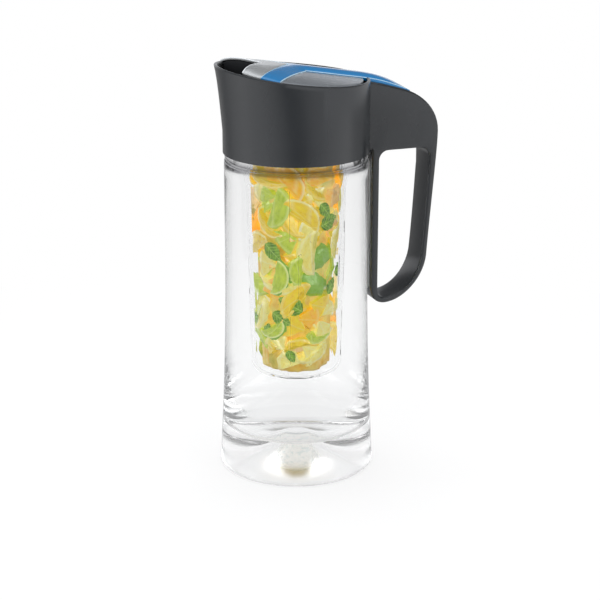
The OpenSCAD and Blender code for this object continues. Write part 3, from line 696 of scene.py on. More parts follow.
@dataclass(frozen=True)
class PaleFloor(Finish):
    """White studio floor that keeps the pitcher's shadow."""

    colour: Colour = (0.92, 0.92, 0.925)
    near: float = 0.16
    far: float = 0.5
    glow_near: float = 0.72

    def surface(self, board: Board) -> Wire:
        """Mixes a pale cloth with a white glow for seen, mirrored and passed rays.

        Args:
            board: The board to build it on.

        Returns:
            The shader.
        """
        pale = self.clouded(board, self.colour, 0.985, board.grain(3.0))
        cloth = board.skin(Base_Color=pale, Roughness=0.6, Specular_IOR_Level=0.2)
        share = board.rise(board.length(board.place()), self.near, self.far, self.glow_near, 1.0)
        mirrored = board.ray("Glossy") * (1.0 - board.ray("Transmission"))
        white = board.mix(WHITE, cards(board, board.place()), mirrored)
        glow = board.add("ShaderNodeEmission", {}, {"Color": white, "Strength": 1.0})
        return board.blend(cloth, glow, seen_rays(board) * share)


def cards(board: Board, point: Wire) -> Wire:
    """Gives the brightness of the panels and dark cards round the pitcher.

    Args:
        board: The board to add them to.
        point: Point or direction, whose plan angle from +X counts.

    Returns:
        The colour seen that way.
    """
    marks = [(0, 0.37), (20, 0.2), (60, 0.3), (78, 0.4), (124, 0.22), (150, 0.7), (168, 1.0), (204, 0.8),
             (228, 0.5), (246, 0.08), (261, 0.08), (275, 0.42), (308, 0.8), (337, 1.0), (350, 0.5),
             (360, 0.37)]
    stops = [(angle / 360, (level, level, level * 1.01)) for angle, level in marks]
    return board.tinted((board.turn(point) / math.tau + 1.0).part(), stops)


def seen_rays(board: Board) -> Wire:
    """Gives 1 for rays from the camera and for mirrored and passed rays, else 0."""
    return board.ray("Camera").most(board.ray("Glossy")).most(board.ray("Transmission"))


ANTHRACITE = MouldedPlastic("anthracite_satin", (0.0185, 0.0205, 0.023), 0.24, gloss=0.68)
INNER_DARK = MouldedPlastic("inner_dark_satin", (0.016, 0.017, 0.019), 0.45)
SILVER = SilverSkin("silver_brushed", (0.33, 0.355, 0.385))
# Same silver as the side panels, painted lighter on the front panel as a painted highlight.
SILVER_FRONT_PAINTED_LIGHTER = SilverSkin("silver_brushed_front_painted_lighter", (0.58, 0.6, 0.61))
BLUE = GlossSkin("blue_gloss", (0.0045, 0.168, 0.42))
# Painted highlights: the light blue and near-white colours of the beads along the edges of the blue strip and
# the silver front panel.
BLUE_PAINTED_HIGHLIGHT = GlossSkin("blue_edge_painted_highlight", shade(168, 204, 226))
PALE_PAINTED_HIGHLIGHT = GlossSkin("pale_edge_painted_highlight", shade(224, 228, 232))
CLEAR_INDEX = 1.35
FILL_INDEX = 1.06
LOW_STEPS = 7
LOW_RISE = 0.022
WALL_EDGE = (0.66, 0.68, 0.69)
# Painted shade on the jug's outer wall: height in millimetres and the share of its tint kept there. It
# darkens lines at the foot, greys the base, darkens towards the top and lays a dark band just below the
# collar, where the collar's shade falls.
WALL_PAINTED_SHADE = (
    (0.0, 0.62), (1.2, 0.72), (2.6, 0.8), (4.5, 0.93), (20.0, 0.9), (27.0, 0.88), (30.0, 0.84), (41.0, 0.95),
    (48.0, 0.985), (140.0, 0.98), (190.0, 0.93), (221.5, 0.93), (225.4, 0.84), (226.4, 0.5), (227.0, 0.2),
    (229.2, 0.16), (230.6, 0.45), (234.0, 0.84), (255.0, 0.88),
)
WALL = {"edge": WALL_EDGE, "edge_power": 5.0}
CLEAR_JUG = ClearPlastic(
    "clear_jug_wall", (0.965, 0.967, 0.968), **WALL, index=CLEAR_INDEX, milk=0.7, heights=WALL_PAINTED_SHADE)
CLEAR_FILL = ClearPlastic(
    "clear_jug_inside", (0.98, 0.982, 0.982), **WALL, index=CLEAR_INDEX / FILL_INDEX, milk=0.7)
CLEAR_LOW = [
    ClearPlastic(
        f"clear_jug_low_{i}", (0.975, 0.978, 0.98), **WALL, index=CLEAR_INDEX / (FILL_INDEX + LOW_RISE * i))
    for i in range(1, LOW_STEPS + 1)
]
CLEAR_DOME = ClearDome("clear_jug_dome")
CLEAR_TUBE = ClearPlastic("clear_infuser_wall", (0.99, 0.992, 0.99), (0.9, 0.91, 0.91), 5.0, 1.035)
SEAL = SoftRubber("silicone_milky", (0.6, 0.62, 0.6))
# The strap pad's milky silicone, painted lighter to offset the shade it lies in behind the jug's wall.
PAD_PAINTED_LIGHTER = SoftRubber("pad_milky_painted_lighter", (0.74, 0.76, 0.74))
STEEL = DrawnSteel("steel_drawn")


def arc(cx: float, cy: float, r: float, a0: float, a1: float, n: int) -> Profile:
    """Gives the points of an arc.

    Args:
        cx: Centre, across.
        cy: Centre, up.
        r: Radius.
        a0: First angle in degrees.
        a1: Last angle in degrees.
        n: Number of steps.

    Returns:
        The n + 1 points.
    """
    angles = [math.radians(a0 + (a1 - a0) * i / n) for i in range(n + 1)]
    return [(cx + r * math.cos(a), cy + r * math.sin(a)) for a in angles]


def bend(ends: Profile, n: int) -> Profile:
    """Gives the points of a cubic curve.

    Args:
        ends: Start, two pulls and end.
        n: Number of steps.

    Returns:
        The n + 1 points.
    """
    points = []
    for i in range(n + 1):
        t = i / n
        u = 1 - t
        weights = (u**3, 3 * u * u * t, 3 * u * t * t, t**3)
        points.append(tuple(sum(w * p[k] for w, p in zip(weights, ends)) for k in (0, 1)))
    return points


def sleeve(rings: int, sides: int, first: int = 0) -> list[list[int]]:
    """Gives the faces between rings of points that follow each other.

    Args:
        rings: Number of rings.
        sides: Number of points in a ring.
        first: Index of the first ring's first point.

    Returns:
        The faces.
    """
    faces = []
    for i in range(rings - 1):
        a, b = first + i * sides, first + (i + 1) * sides
        for k in range(sides):
            m = (k + 1) % sides
            faces.append([a + k, a + m, b + m, b + k])
    return faces


def new_item(name: str, data: bpy.types.ID) -> bpy.types.Object:
    """Makes an object and puts it into the scene.

    Args:
        name: Its name.
        data: Its mesh, lamp or camera.

    Returns:
        The new object.
    """
    item = bpy.data.objects.new(name, data)
    bpy.context.scene.collection.objects.link(item)
    return item


@dataclass
class Builder:
    """Makes meshes into pieces that ride on the pitcher's bodies."""

    made: list[str] = field(default_factory=list)

    def piece(
        self,
        name: str,
        points: Iterable[Point],
        faces: Iterable[Sequence[int]],
        finish: Finish,
        body: str,
        slot: str | None = None,
        place: Matrix | None = None,
        crease: float = 35.0,
    ) -> bpy.types.Object:
        """Builds one piece.

        Args:
            name: The piece's name.
            points: Its points in millimetres.
            faces: Its faces as indices of points.
            finish: Its finish.
            body: The body it rides on.
            slot: Not used.
            place: Where it goes, in millimetres, or None for where its points are.
            crease: Angle in degrees from which an edge stays sharp.

        Returns:
            The new object.
        """
        mesh = bpy.data.meshes.new(name)
        mesh.from_pydata([tuple(c * MM for c in p) for p in points], [], [tuple(f) for f in faces])
        mesh.validate()
        mesh.update()
        mesh.shade_smooth()
        mesh.set_sharp_from_angle(angle=math.radians(crease))
        mesh.materials.append(finish.made())
        item = new_item(name, mesh)
        if place is not None:
            moved = place.copy()
            moved.translation = place.translation * MM
            item.matrix_world = moved
        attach(item, body)
        self.made.append(name)
        LOG.info("piece %s on %s", name, body)
        return item


def turned(profile: Profile, steps: int) -> Shape:
    """Turns a closed profile round the axis.

    Args:
        profile: Radius and height of each point; points on the axis have radius 0.
        steps: Number of steps round.

    Returns:
        Points and faces.
    """
    points: list[Point] = []
    rows: list[list[int]] = []
    for r, z in profile:
        if r < 1e-6:
            points.append((0.0, 0.0, z))
            rows.append([len(points) - 1] * steps)
            continue
        first = len(points)
        for i in range(steps):
            a = math.tau * i / steps
            points.append((r * math.cos(a), r * math.sin(a), z))
        rows.append(list(range(first, first + steps)))
    faces = []
    for k, row in enumerate(rows):
        above = rows[(k + 1) % len(rows)]
        for i in range(steps):
            j = (i + 1) % steps
            corners = [row[i], row[j], above[j], above[i]]
            kept = [c for n, c in enumerate(corners) if c not in corners[:n]]
            if len(kept) > 2:
                faces.append(kept)
    return points, faces


@dataclass
class ClearJug:
    """The clear jug: one turned wall with a thick base and a threaded neck."""

    builder: Builder
    body_r: float = 51.2
    base_r: float = 56.6
    flare_h: float = 170.0
    shoulder_h: float = 228.6
    wall: float = 2.6
    inner_side: float = 1.4
    floor_h: float = 29.0
    floor_fillet: float = 12.0
    low_top: float = 72.0
    low_end: float = 34.0
    foot_edge: float = 3.0
    foot_ring: float = 5.0
    punt_h: float = 21.0
    punt_top_r: float = 8.0
    neck_r: float = 46.6
    neck_wall: float = 2.4
    neck_top: float = 252.0
    seat_r: float = 50.7
    seat_z: float = 233.9
    groove_r: float = 49.9
    groove_z: float = 230.2
    neck_lip: float = 0.8
    steps: int = 192
    bead_r: float = 0.42
    bead_turns: float = 0.3
    bead_starts: int = 3
    bead_low: float = 6.0
    bead_rise: float = 4.0
    bead_tall: float = 1.6

    def side(self, z: float) -> float:
        """Gives the outer radius at a height.

        Args:
            z: The height in millimetres.

        Returns:
            The radius in millimetres.
        """
        if z >= self.flare_h:
            return self.body_r
        flare = self.base_r - self.body_r
        r = (self.flare_h**2 + flare**2) / (2 * flare)
        return self.body_r + r - math.sqrt(r * r - (self.flare_h - z) ** 2)

    def outside(self) -> Profile:
        """Gives the outer profile from the hollow's top to the neck's lip.

        Returns:
            Radius and height of each point.
        """
        foot_out = self.base_r - self.foot_edge
        foot_in = foot_out - self.foot_ring
        pulls = [(foot_in * 0.42, self.punt_h * 0.42), (foot_in * 0.7, self.punt_h * 0.13)]
        start, end = (self.punt_top_r, self.punt_h), (foot_in, 0.0)
        side_n = 40
        rise = self.flare_h - self.foot_edge
        return [
            (0.0, self.punt_h),
            (self.punt_top_r * 0.6, self.punt_h),
            *bend([start, pulls[0], pulls[1], end], 28),
            *arc(foot_out, self.foot_edge, self.foot_edge, -90, -5, 8),
            *[(self.side(self.foot_edge + rise * i / side_n), self.foot_edge + rise * i / side_n)
              for i in range(1, side_n + 1)],
            *arc(self.body_r - 1.0, self.shoulder_h - 1.0, 1.0, 0, 90, 5),
            (self.groove_r, self.shoulder_h),
            (self.groove_r, self.groove_z),
            (self.seat_r, self.groove_z),
            (self.seat_r, self.seat_z),
            (self.neck_r, self.seat_z),
            *arc(self.neck_r - self.neck_lip, self.neck_top - self.neck_lip, self.neck_lip, 0, 90, 4),
        ]

    def inside(self) -> Profile:
        """Gives the inner profile from the neck's lip to the floor.

        Returns:
            Radius and height of each point.
        """
        neck_in = self.neck_r - self.neck_wall
        in_r = self.body_r - self.wall
        waist = self.floor_h + self.floor_fillet
        drop = self.floor_fillet / 3
        ends = [(neck_in, self.shoulder_h), (neck_in, self.shoulder_h - drop),
                (in_r, self.shoulder_h - drop), (in_r, self.shoulder_h - self.floor_fillet)]
        side_n = 40
        heights = [self.flare_h - (self.flare_h - waist) * i / side_n for i in range(side_n)]
        return [
            (neck_in, self.neck_top),
            *bend(ends, 12),
            *[(self.side(z) - self.wall, z) for z in heights],
            *arc(self.side(waist) - self.wall - self.floor_fillet, waist, self.floor_fillet, 0, -90, 14),
            (18.0, self.floor_h),
            (0.0, self.floor_h),
        ]

    def finish_at(self, spot: Vector) -> Finish:
        """Gives the wall's finish at a place.

        Args:
            spot: The place in millimetres.

        Returns:
            The finish: of the inside, of the hollow under the base, or of the outside.
        """
        away = math.hypot(spot.x, spot.y)
        if self.floor_h - 0.5 < spot.z < self.seat_z and away < self.side(spot.z) - self.inner_side:
            depth = (self.low_top - spot.z) / (self.low_top - self.low_end)
            step = min(LOW_STEPS - 1, math.floor(depth * LOW_STEPS))
            return CLEAR_FILL if depth < 0 else CLEAR_LOW[step]
        if spot.z < self.punt_h + 0.5 and away < self.base_r - self.foot_edge:
            return CLEAR_DOME
        return CLEAR_JUG

    def build_wall(self) -> None:
        """Builds the jug's wall in place of its plain solid."""
        points, faces = turned(self.outside() + self.inside(), self.steps)
        finishes = [CLEAR_JUG, CLEAR_FILL, CLEAR_DOME, *CLEAR_LOW]
        wall = self.builder.piece("jug_clear_wall", points, faces, finishes[0], "jug", "clear_jug", crease=50)
        for finish in finishes[1:]:
            wall.data.materials.append(finish.made())
        for face in wall.data.polygons:
            face.material_index = finishes.index(self.finish_at(face.center / MM))
        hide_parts("jug_body")

    def build_beads(self) -> None:
        """Builds the short thread beads round the neck, hidden under the collar."""
        turns, sides = 26, 8
        for start in range(self.bead_starts):
            points = []
            for i in range(turns + 1):
                t = i / turns
                a = math.tau * (start / self.bead_starts + self.bead_turns * t)
                end = min(t, 1 - t)
                swell = math.sin(math.pi * max(0.04, end * 6)) ** 0.5 if end < 1 / 12 else 1.0
                r = self.bead_r * swell
                z = self.seat_z + self.bead_low + self.bead_rise * t
                for k in range(sides):
                    b = math.tau * k / sides
                    reach = self.neck_r + r * math.cos(b)
                    up = z + self.bead_tall * r * math.sin(b)
                    points.append((reach * math.cos(a), reach * math.sin(a), up))
            faces = [[a, d, c, b] for a, b, c, d in sleeve(turns + 1, sides)]
            faces.append(list(range(sides)))
            faces.append([turns * sides + k for k in range(sides - 1, -1, -1)])
            self.builder.piece(f"neck_bead_{start + 1}", points, faces, CLEAR_JUG, "jug", "clear_jug")

    def build(self) -> None:
        """Builds the wall and the thread beads."""
        self.build_wall()
        self.build_beads()


@dataclass
class Sharpener:
    """Smooths a CAD node's shading and keeps its real edges, by modifiers alone."""

    crease: float = 30.0
    weld_gap: float = 0.004
    bevel_from: float = 40.0
    bevel_steps: int = 2

    def __post_init__(self) -> None:
        """Makes the node group that marks edges sharper than crease degrees."""
        group = bpy.data.node_groups.new("mark_real_edges", "GeometryNodeTree")
        group.interface.new_socket("Geometry", in_out="INPUT", socket_type="NodeSocketGeometry")
        group.interface.new_socket("Geometry", in_out="OUTPUT", socket_type="NodeSocketGeometry")
        board = Board(group)
        shape = board.add("NodeGroupInput", out="Geometry")
        angle = board.add("GeometryNodeInputMeshEdgeAngle", out="Unsigned Angle")
        limit = math.radians(self.crease)
        real = board.add("FunctionNodeCompare", {"operation": "GREATER_THAN"}, {0: angle, 1: limit})
        soft = board.add("GeometryNodeSetShadeSmooth", {"domain": "FACE"}, {0: shape})
        marks = {"data_type": "BOOLEAN", "domain": "EDGE"}
        named = {0: soft, "Name": "sharp_edge", "Value": real}
        kept = board.add("GeometryNodeStoreNamedAttribute", marks, named)
        board.add("NodeGroupOutput", {}, {0: kept})
        self.group = group

    def dress(self, name: str, finish: Finish, edge: float = 0.0) -> None:
        """Gives a CAD node its finish and shading.

        Args:
            name: The node's name.
            finish: Its finish.
            edge: Width in millimetres of the rounding on its sharp edges, or 0.
        """
        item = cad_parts[name]
        custom = item.data.attributes.get("custom_normal")
        if custom:
            item.data.attributes.remove(custom)
        weld = item.modifiers.new("weld", "WELD")
        weld.merge_threshold = self.weld_gap * MM
        if edge:
            bevel = item.modifiers.new("edge", "BEVEL")
            bevel.width = edge * MM
            bevel.segments = self.bevel_steps
            bevel.limit_method = "ANGLE"
            bevel.angle_limit = math.radians(self.bevel_from)
            bevel.use_clamp_overlap = True
        item.modifiers.new("marks", "NODES").node_group = self.group
        material = finish.made()
        for slot in item.material_slots:
            slot.material = material
        LOG.info("dressed %s as %s", name, finish.name)


@dataclass
class LidAndHandle:
    """The collar, the flap, the handle and what is inside them."""

    sharpener: Sharpener

    def finishes(self) -> dict[str, tuple[Finish, float]]:
        """Gives how each CAD node is dressed.

        Returns:
            Finish and edge rounding in millimetres, by node.
        """
        return {
            "collar_shell": (ANTHRACITE, 0.5),
            "handle_shell": (ANTHRACITE, 0.0),
            "inner_lid": (INNER_DARK, 0.0),
            "pour_strainer": (INNER_DARK, 0.0),
            "infuser_holder": (INNER_DARK, 0.0),
            "flap_frame": (INNER_DARK, 0.0),
            "front_panel": (SILVER_FRONT_PAINTED_LIGHTER, 0.3),
            "side_panel_left": (SILVER, 0.3),
            "side_panel_right": (SILVER, 0.3),
            "thumb_strip": (BLUE, 0.3),
            "neck_gasket": (SEAL, 0.0),
            "pour_seal": (SEAL, 0.0),
            "strap_pad": (PAD_PAINTED_LIGHTER, 0.0),
            "handle_screws": (STEEL, 0.0),
            "strip_screws": (STEEL, 0.0),
            "hinge_pin": (STEEL, 0.0),
            "lever_spring": (STEEL, 0.0),
            "infuser_tube": (CLEAR_TUBE, 0.0),
        }

    def build(self) -> None:
        """Dresses every CAD node that shows."""
        for name, (finish, edge) in self.finishes().items():
            self.sharpener.dress(name, finish, edge)


@dataclass
class SkinJointHighlights:
    """Fine beads in the joints between the lid's skins, whose light colours paint the highlights along the
    skins' edges.

    front_x, arm_front_x and arm_rear_x give where each swept edge crosses the
    middle; the skins' heights are read set_in beside it.
    """

    builder: Builder
    sweep: float = 0.93
    nose: float = 1.5
    front_x: float = -25.9
    arm_front_x: float = -5.9
    arm_rear_x: float = 11.6
    strip_half: float = 10.5
    strip_end: float = 82.0
    half_width: float = 0.42
    rise: float = 0.16
    sink: float = 0.3
    set_in: float = 0.55
    reach: int = 50
    gap: float = 0.1
    stem_step: float = 0.8
    above: float = 400.0

    def __post_init__(self) -> None:
        """Reads the skins' surfaces, to lay the beads on them."""
        self.skins = []
        for name in ("front_panel", "thumb_strip", "side_panel_left", "side_panel_right"):
            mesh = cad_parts[name].data
            places, corners = [v.co for v in mesh.vertices], [p.vertices for p in mesh.polygons]
            self.skins.append(BVHTree.FromPolygons(places, corners))

    def height(self, x: float, y: float) -> float | None:
        """Gives the height of the skins at a place.

        Args:
            x: The place along the lid in millimetres.
            y: The place across it.

        Returns:
            The height in millimetres, or None beside the skins.
        """
        down = Vector((0.0, 0.0, -1.0))
        above = Vector((x * MM, y * MM, self.above * MM))
        hits = [tree.ray_cast(above, down)[0] for tree in self.skins]
        heights = [hit.z / MM for hit in hits if hit is not None]
        return max(heights) if heights else None

    def swept_x(self, start: float, y: float) -> float:
        """Gives x of a swept edge at a distance y from the middle."""
        return start - self.sweep * (math.hypot(y, self.nose) - self.nose)

    def laid(self, path: Profile, inward: float) -> list[Point]:
        """Lays a path on the skins.

        Args:
            path: Its places.
            inward: Sideways shift in millimetres of where the height is read.

        Returns:
            The points that lie on a skin.
        """
        points = []
        for (x, y), (x2, y2) in zip(path, path[1:] + path[-1:]):
            ahead = Vector((x2 - x, y2 - y)) if (x2, y2) != (x, y) else Vector((1.0, 0.0))
            side = Vector((-ahead.y, ahead.x)).normalized() * inward
            z = self.height(x + side.x, y + side.y)
            if z is not None:
                points.append((x, y, z))
        return points

    def add_bead(self, name: str, points: Sequence[Point], finish: Finish) -> None:
        """Builds one bead along points on the skins.

        Args:
            name: The bead's name.
            points: Its points in millimetres.
            finish: Its finish.
        """
        verts: list[Point] = []
        for i, p in enumerate(points):
            a, b = points[max(0, i - 1)], points[min(len(points) - 1, i + 1)]
            side = Vector((a[1] - b[1], b[0] - a[0])).normalized()
            for share, lift in ((-1.0, -self.sink), (-0.6, self.rise), (0.6, self.rise), (1.0, -self.sink)):
                reach = share * self.half_width
                verts.append((p[0] + side.x * reach, p[1] + side.y * reach, p[2] + lift))
        faces = sleeve(len(points), 4)
        faces += [[3, 2, 1, 0], [4 * len(points) - 4 + k for k in range(4)]]
        self.builder.piece(name, verts, faces, finish, "flap", crease=70.0)

    def build(self) -> None:
        """Builds the front bead, the two arm beads and the strip's beads on both sides."""
        spread = [0.5 * i for i in range(-2 * self.reach, 2 * self.reach + 1)]
        front = [(self.swept_x(self.front_x, y) + self.half_width, y) for y in spread]
        self.add_bead("bead_front", self.laid(front, -self.set_in), PALE_PAINTED_HIGHLIGHT)
        arm = [(self.swept_x(self.arm_front_x, y), y) for y in spread]
        self.add_bead("bead_arm", self.laid(arm, -self.set_in), BLUE_PAINTED_HIGHLIGHT)
        for side, name in ((-1.0, "near"), (1.0, "far")):
            stem = self.strip_half - self.half_width - self.gap
            outer = [0.5 * i for i in range(2 * self.reach, 0, -1) if 0.5 * i > stem]
            path = [(self.swept_x(self.arm_rear_x, y), side * y) for y in outer]
            last = self.swept_x(self.arm_rear_x, stem)
            steps = int((self.strip_end - last) / self.stem_step)
            path += [(last + self.stem_step * i, side * stem) for i in range(steps + 1)]
            self.add_bead(f"bead_strip_{name}", self.laid(path, self.set_in * -side), BLUE_PAINTED_HIGHLIGHT)


class Fruit(Enum):
    """The kinds of fruit in the infuser."""

    ORANGE = "orange"
    LEMON = "lemon"
    LIME = "lime"
    PALE = "pale_lemon"
    PEACH = "peach"


class Cut(Enum):
    """How a piece of fruit is cut, and which side lies against the tube."""

    WEDGE_FACE = "wedge with its cut face outwards"
    WEDGE_RIND = "wedge with its rind outwards"
    SLICE = "part of a slice with its flat side outwards"


@dataclass(frozen=True)
class FruitSpec:
    """Where one piece of fruit lies in the tube.

    around and up give its place in degrees and millimetres, deep its distance
    in from the tube, spin and tip turn it, and size scales it.
    """

    fruit: Fruit
    cut: Cut
    around: float
    up: float
    spin: float
    deep: float = 1.0
    size: float = 1.0
    tip: float = 0.0
    span: float = 70.0
    peel: bool = True


@dataclass(frozen=True)
class FruitKind:
    """Colours of a kind of fruit, and its radius and half length in millimetres."""

    flesh: Colour
    deep: Colour
    pith: Colour
    rind: Colour
    radius: float
    half: float


KINDS = {
    Fruit.ORANGE: FruitKind(
        shade(255, 204, 20), shade(250, 176, 0), shade(254, 236, 170), shade(244, 166, 6), 19.0, 20.0),
    Fruit.LEMON: FruitKind(
        shade(246, 218, 26), shade(230, 192, 0), shade(250, 242, 176), shade(240, 206, 8), 16.0, 20.0),
    Fruit.LIME: FruitKind(
        shade(200, 218, 58), shade(160, 188, 20), shade(236, 244, 170), shade(128, 178, 26), 15.0, 17.0),
    Fruit.PALE: FruitKind(
        shade(244, 236, 140), shade(232, 216, 84), shade(252, 248, 210), shade(240, 220, 64), 16.0, 20.0),
    Fruit.PEACH: FruitKind(
        shade(250, 212, 136), shade(240, 180, 96), shade(252, 232, 186), shade(240, 180, 90), 16.0, 18.0),
}


@dataclass
class FruitFill:
    """The fruit and mint in the infuser, which ride with it."""

    builder: Builder
    low: float = 75.5
    high: float = 256.0
    taper_top: float = 250.0
    foot_r: float = 28.8
    top_r: float = 32.6
    foot_edge: float = 6.0
    clear: float = 1.2
    seed: int = 11
    filler: int = 96
    fill_low: int = 86
    fill_high: int = 246
    slice_t: float = 7.6
    slice_half: float = 900.0
    weak_pith: float = 0.3
    thick_rind: float = 0.72
    thick_pith: float = 0.66
    lumps: float = 1.9
    core_r: float = 1.2
    core_set: float = 5.6
    core_lump: float = 3.2
    relief: float = 2.6
    leaf_deep: float = 0.6
    leaf_width: float = 0.34
    leaf_t: float = 0.35
    core_top: float = 244.0

    def finish(self, spec: FruitSpec) -> CutFruit:
        """Gives the finish of a piece, with thick rind where that shows and weak pith where it is peeled.

        Args:
            spec: The piece.

        Returns:
            Its finish.
        """
        kind = KINDS[spec.fruit]
        sliced = spec.cut is Cut.SLICE
        sizes = (kind.radius, self.slice_half if sliced else kind.half)
        colours = (kind.flesh, kind.deep, kind.pith)
        name = f"{spec.fruit.value}_{'slice' if sliced else 'wedge'}"
        if not spec.peel:
            return CutFruit(f"{name}_peeled", *colours, kind.flesh, *sizes, pith_strength=self.weak_pith)
        if spec.cut is Cut.WEDGE_RIND:
            shares = {"rind_share": self.thick_rind, "pith_share": self.thick_pith}
            return CutFruit(f"{spec.fruit.value}_rind", *colours, kind.rind, *sizes, **shares)
        return CutFruit(name, *colours, kind.rind, *sizes)

    def reach(self, z: float) -> float:
        """Gives the free radius inside the tube at a height.

        Args:
            z: The height in millimetres.

        Returns:
            The radius in millimetres.
        """
        share = min(1.0, max(0.0, (z - self.low) / (self.taper_top - self.low)))
        r = self.foot_r + (self.top_r - self.foot_r) * share
        rise = z - (self.low - 2.0)
        if rise < self.foot_edge:
            gap = self.foot_edge - max(0.0, rise)
            r -= self.foot_edge - math.sqrt(max(0.0, self.foot_edge**2 - gap**2))
        return r - self.clear

    def pressed(self, point: Vector) -> Vector:
        """Moves a point to inside the tube, as fruit flattens on its wall.

        Args:
            point: The point in millimetres.

        Returns:
            The pressed point.
        """
        z = min(self.high, max(self.low, point.z))
        far = math.hypot(point.x, point.y)
        most = self.reach(z)
        soft = self.relief
        share = (most - soft * math.exp((most - soft - far) / soft)) / far if far > most - soft else 1.0
        return Vector((point.x * share, point.y * share, z))

    @staticmethod
    def swept(profile: Profile, span: float, steps: int) -> Shape:
        """Sweeps a half profile through an angle and closes both cut sides.

        Args:
            profile: Distance from the core and height of each point, core points first and last.
            span: Angle in degrees.
            steps: Number of steps of the sweep.

        Returns:
            Points in millimetres and faces.
        """
        points: list[Point] = []
        n = len(profile)
        for i in range(steps + 1):
            a = math.radians(-span * i / steps)
            points += [(r * math.cos(a), r * math.sin(a), z) for r, z in profile]
        faces = sleeve(steps + 1, n)
        faces.append(list(range(n - 1, -1, -1)))
        faces.append([steps * n + k for k in range(n)])
        return points, faces

    def cut_shape(self, spec: FruitSpec) -> Shape:
        """Gives the points and faces of one piece, uncentred, its core on the Z axis.

        Args:
            spec: The piece.

        Returns:
            Points in millimetres and faces.
        """
        radius, half = KINDS[spec.fruit].radius, KINDS[spec.fruit].half
        if spec.cut is Cut.SLICE:
            t = self.slice_t / 2
            top = [(1.0, t), (radius * 0.3, t), (radius * 0.6, t), (radius * 0.88, t),
                   (radius - 0.5, t - 0.4), (radius, t * 0.4)]
            profile = top + [(r, -z) for r, z in reversed(top)]
            return self.swept(profile, spec.span, 14)
        angles = [math.pi * (i / 16 - 0.5) for i in range(1, 16)]
        oval = [(max(self.core_r, radius * math.cos(a) ** 0.9), half * math.sin(a)) for a in angles]
        profile = [(self.core_r, half * 0.97), *reversed(oval), (self.core_r, -half * 0.97)]
        return self.swept(profile, spec.span, 10)

    @staticmethod
    def axes(around: float, spin: float) -> tuple[Vector, Vector, Vector]:
        """Gives the directions of a piece that lies on the tube.

        Args:
            around: Its place round the tube in degrees.
            spin: Its turn in degrees, 0 with its length to the right.

        Returns:
            Out of the tube, along the piece and across it.
        """
        angle, turn = math.radians(around), math.radians(spin)
        out = Vector((math.cos(angle), math.sin(angle), 0.0))
        right = Vector((-math.sin(angle), math.cos(angle), 0.0))
        along = right * math.cos(turn) + Vector((0.0, 0.0, 1.0)) * math.sin(turn)
        return out, along, out.cross(along)

    def place(self, spec: FruitSpec) -> Matrix:
        """Gives the matrix that lays a piece against the tube.

        Args:
            spec: The piece.

        Returns:
            The matrix, in millimetres.
        """
        out, along, across = self.axes(spec.around, spec.spin)
        radius, half = KINDS[spec.fruit].radius, math.radians(spec.span / 2)
        if spec.cut is Cut.WEDGE_FACE:
            columns = (along, -out, along.cross(-out))
            centre = Vector((radius * 0.5, 0.0, 0.0))
        elif spec.cut is Cut.WEDGE_RIND:
            first = out * math.cos(half) + across * math.sin(half)
            second = across * math.cos(half) - out * math.sin(half)
            columns = (first, second, first.cross(second))
            centre = Vector((radius * math.cos(half) * 0.98, -radius * math.sin(half) * 0.98, 0.0))
        else:
            columns = (along, across, out)
            reach = radius * 0.5
            centre = Vector((reach * math.cos(half), -reach * math.sin(half), self.slice_t / 2))
        turn = Matrix(columns).transposed()
        turn = Matrix.Rotation(math.radians(spec.tip), 3, along) @ turn
        spot = out * (self.reach(spec.up) - spec.deep) + Vector((0.0, 0.0, spec.up))
        move = spot - turn @ (centre * spec.size)
        return Matrix.Translation(move) @ (turn * spec.size).to_4x4()

    def add_cut(self, name: str, spec: FruitSpec) -> None:
        """Builds one piece of fruit, pressed to the inside of the tube.

        Args:
            name: The piece's name.
            spec: Where it lies and what it is.
        """
        points, faces = self.cut_shape(spec)
        place = self.place(spec)
        back = place.inverted()
        shaped = []
        for p in points:
            q = Vector(p)
            lump = noise.noise_vector(q * 0.2 + Vector((spec.up, spec.around, 0.0))) * self.lumps
            shaped.append(tuple(back @ self.pressed(place @ (q + lump))))
        self.builder.piece(name, shaped, faces, self.finish(spec), "infuser", place=place)

    def add_core(self) -> None:
        """Builds the lumpy column of pulp behind the pieces."""
        rows, steps = 70, 64
        points: list[Point] = [(0.0, 0.0, self.low + 0.6)]
        for i in range(rows + 1):
            z = self.low + 1.0 + (self.core_top - self.low - 1.0) * i / rows
            for j in range(steps):
                a = math.tau * j / steps
                way = Vector((math.cos(a) * 2.2, math.sin(a) * 2.2, z * 0.085))
                lump = noise.noise(way) + 0.5 * noise.noise(way * 2.3)
                r = min(self.reach(z) - 0.3, self.reach(z) - self.core_set + self.core_lump * lump)
                points.append((r * math.cos(a), r * math.sin(a), z))
        points.append((0.0, 0.0, self.core_top + 1.0))
        top = len(points) - 1
        faces = [[0, 1 + (j + 1) % steps, 1 + j] for j in range(steps)] + sleeve(rows + 1, steps, 1)
        faces += [[1 + rows * steps + j, 1 + rows * steps + (j + 1) % steps, top] for j in range(steps)]
        self.builder.piece("fruit_pulp", points, faces, PULP, "infuser", crease=180.0)

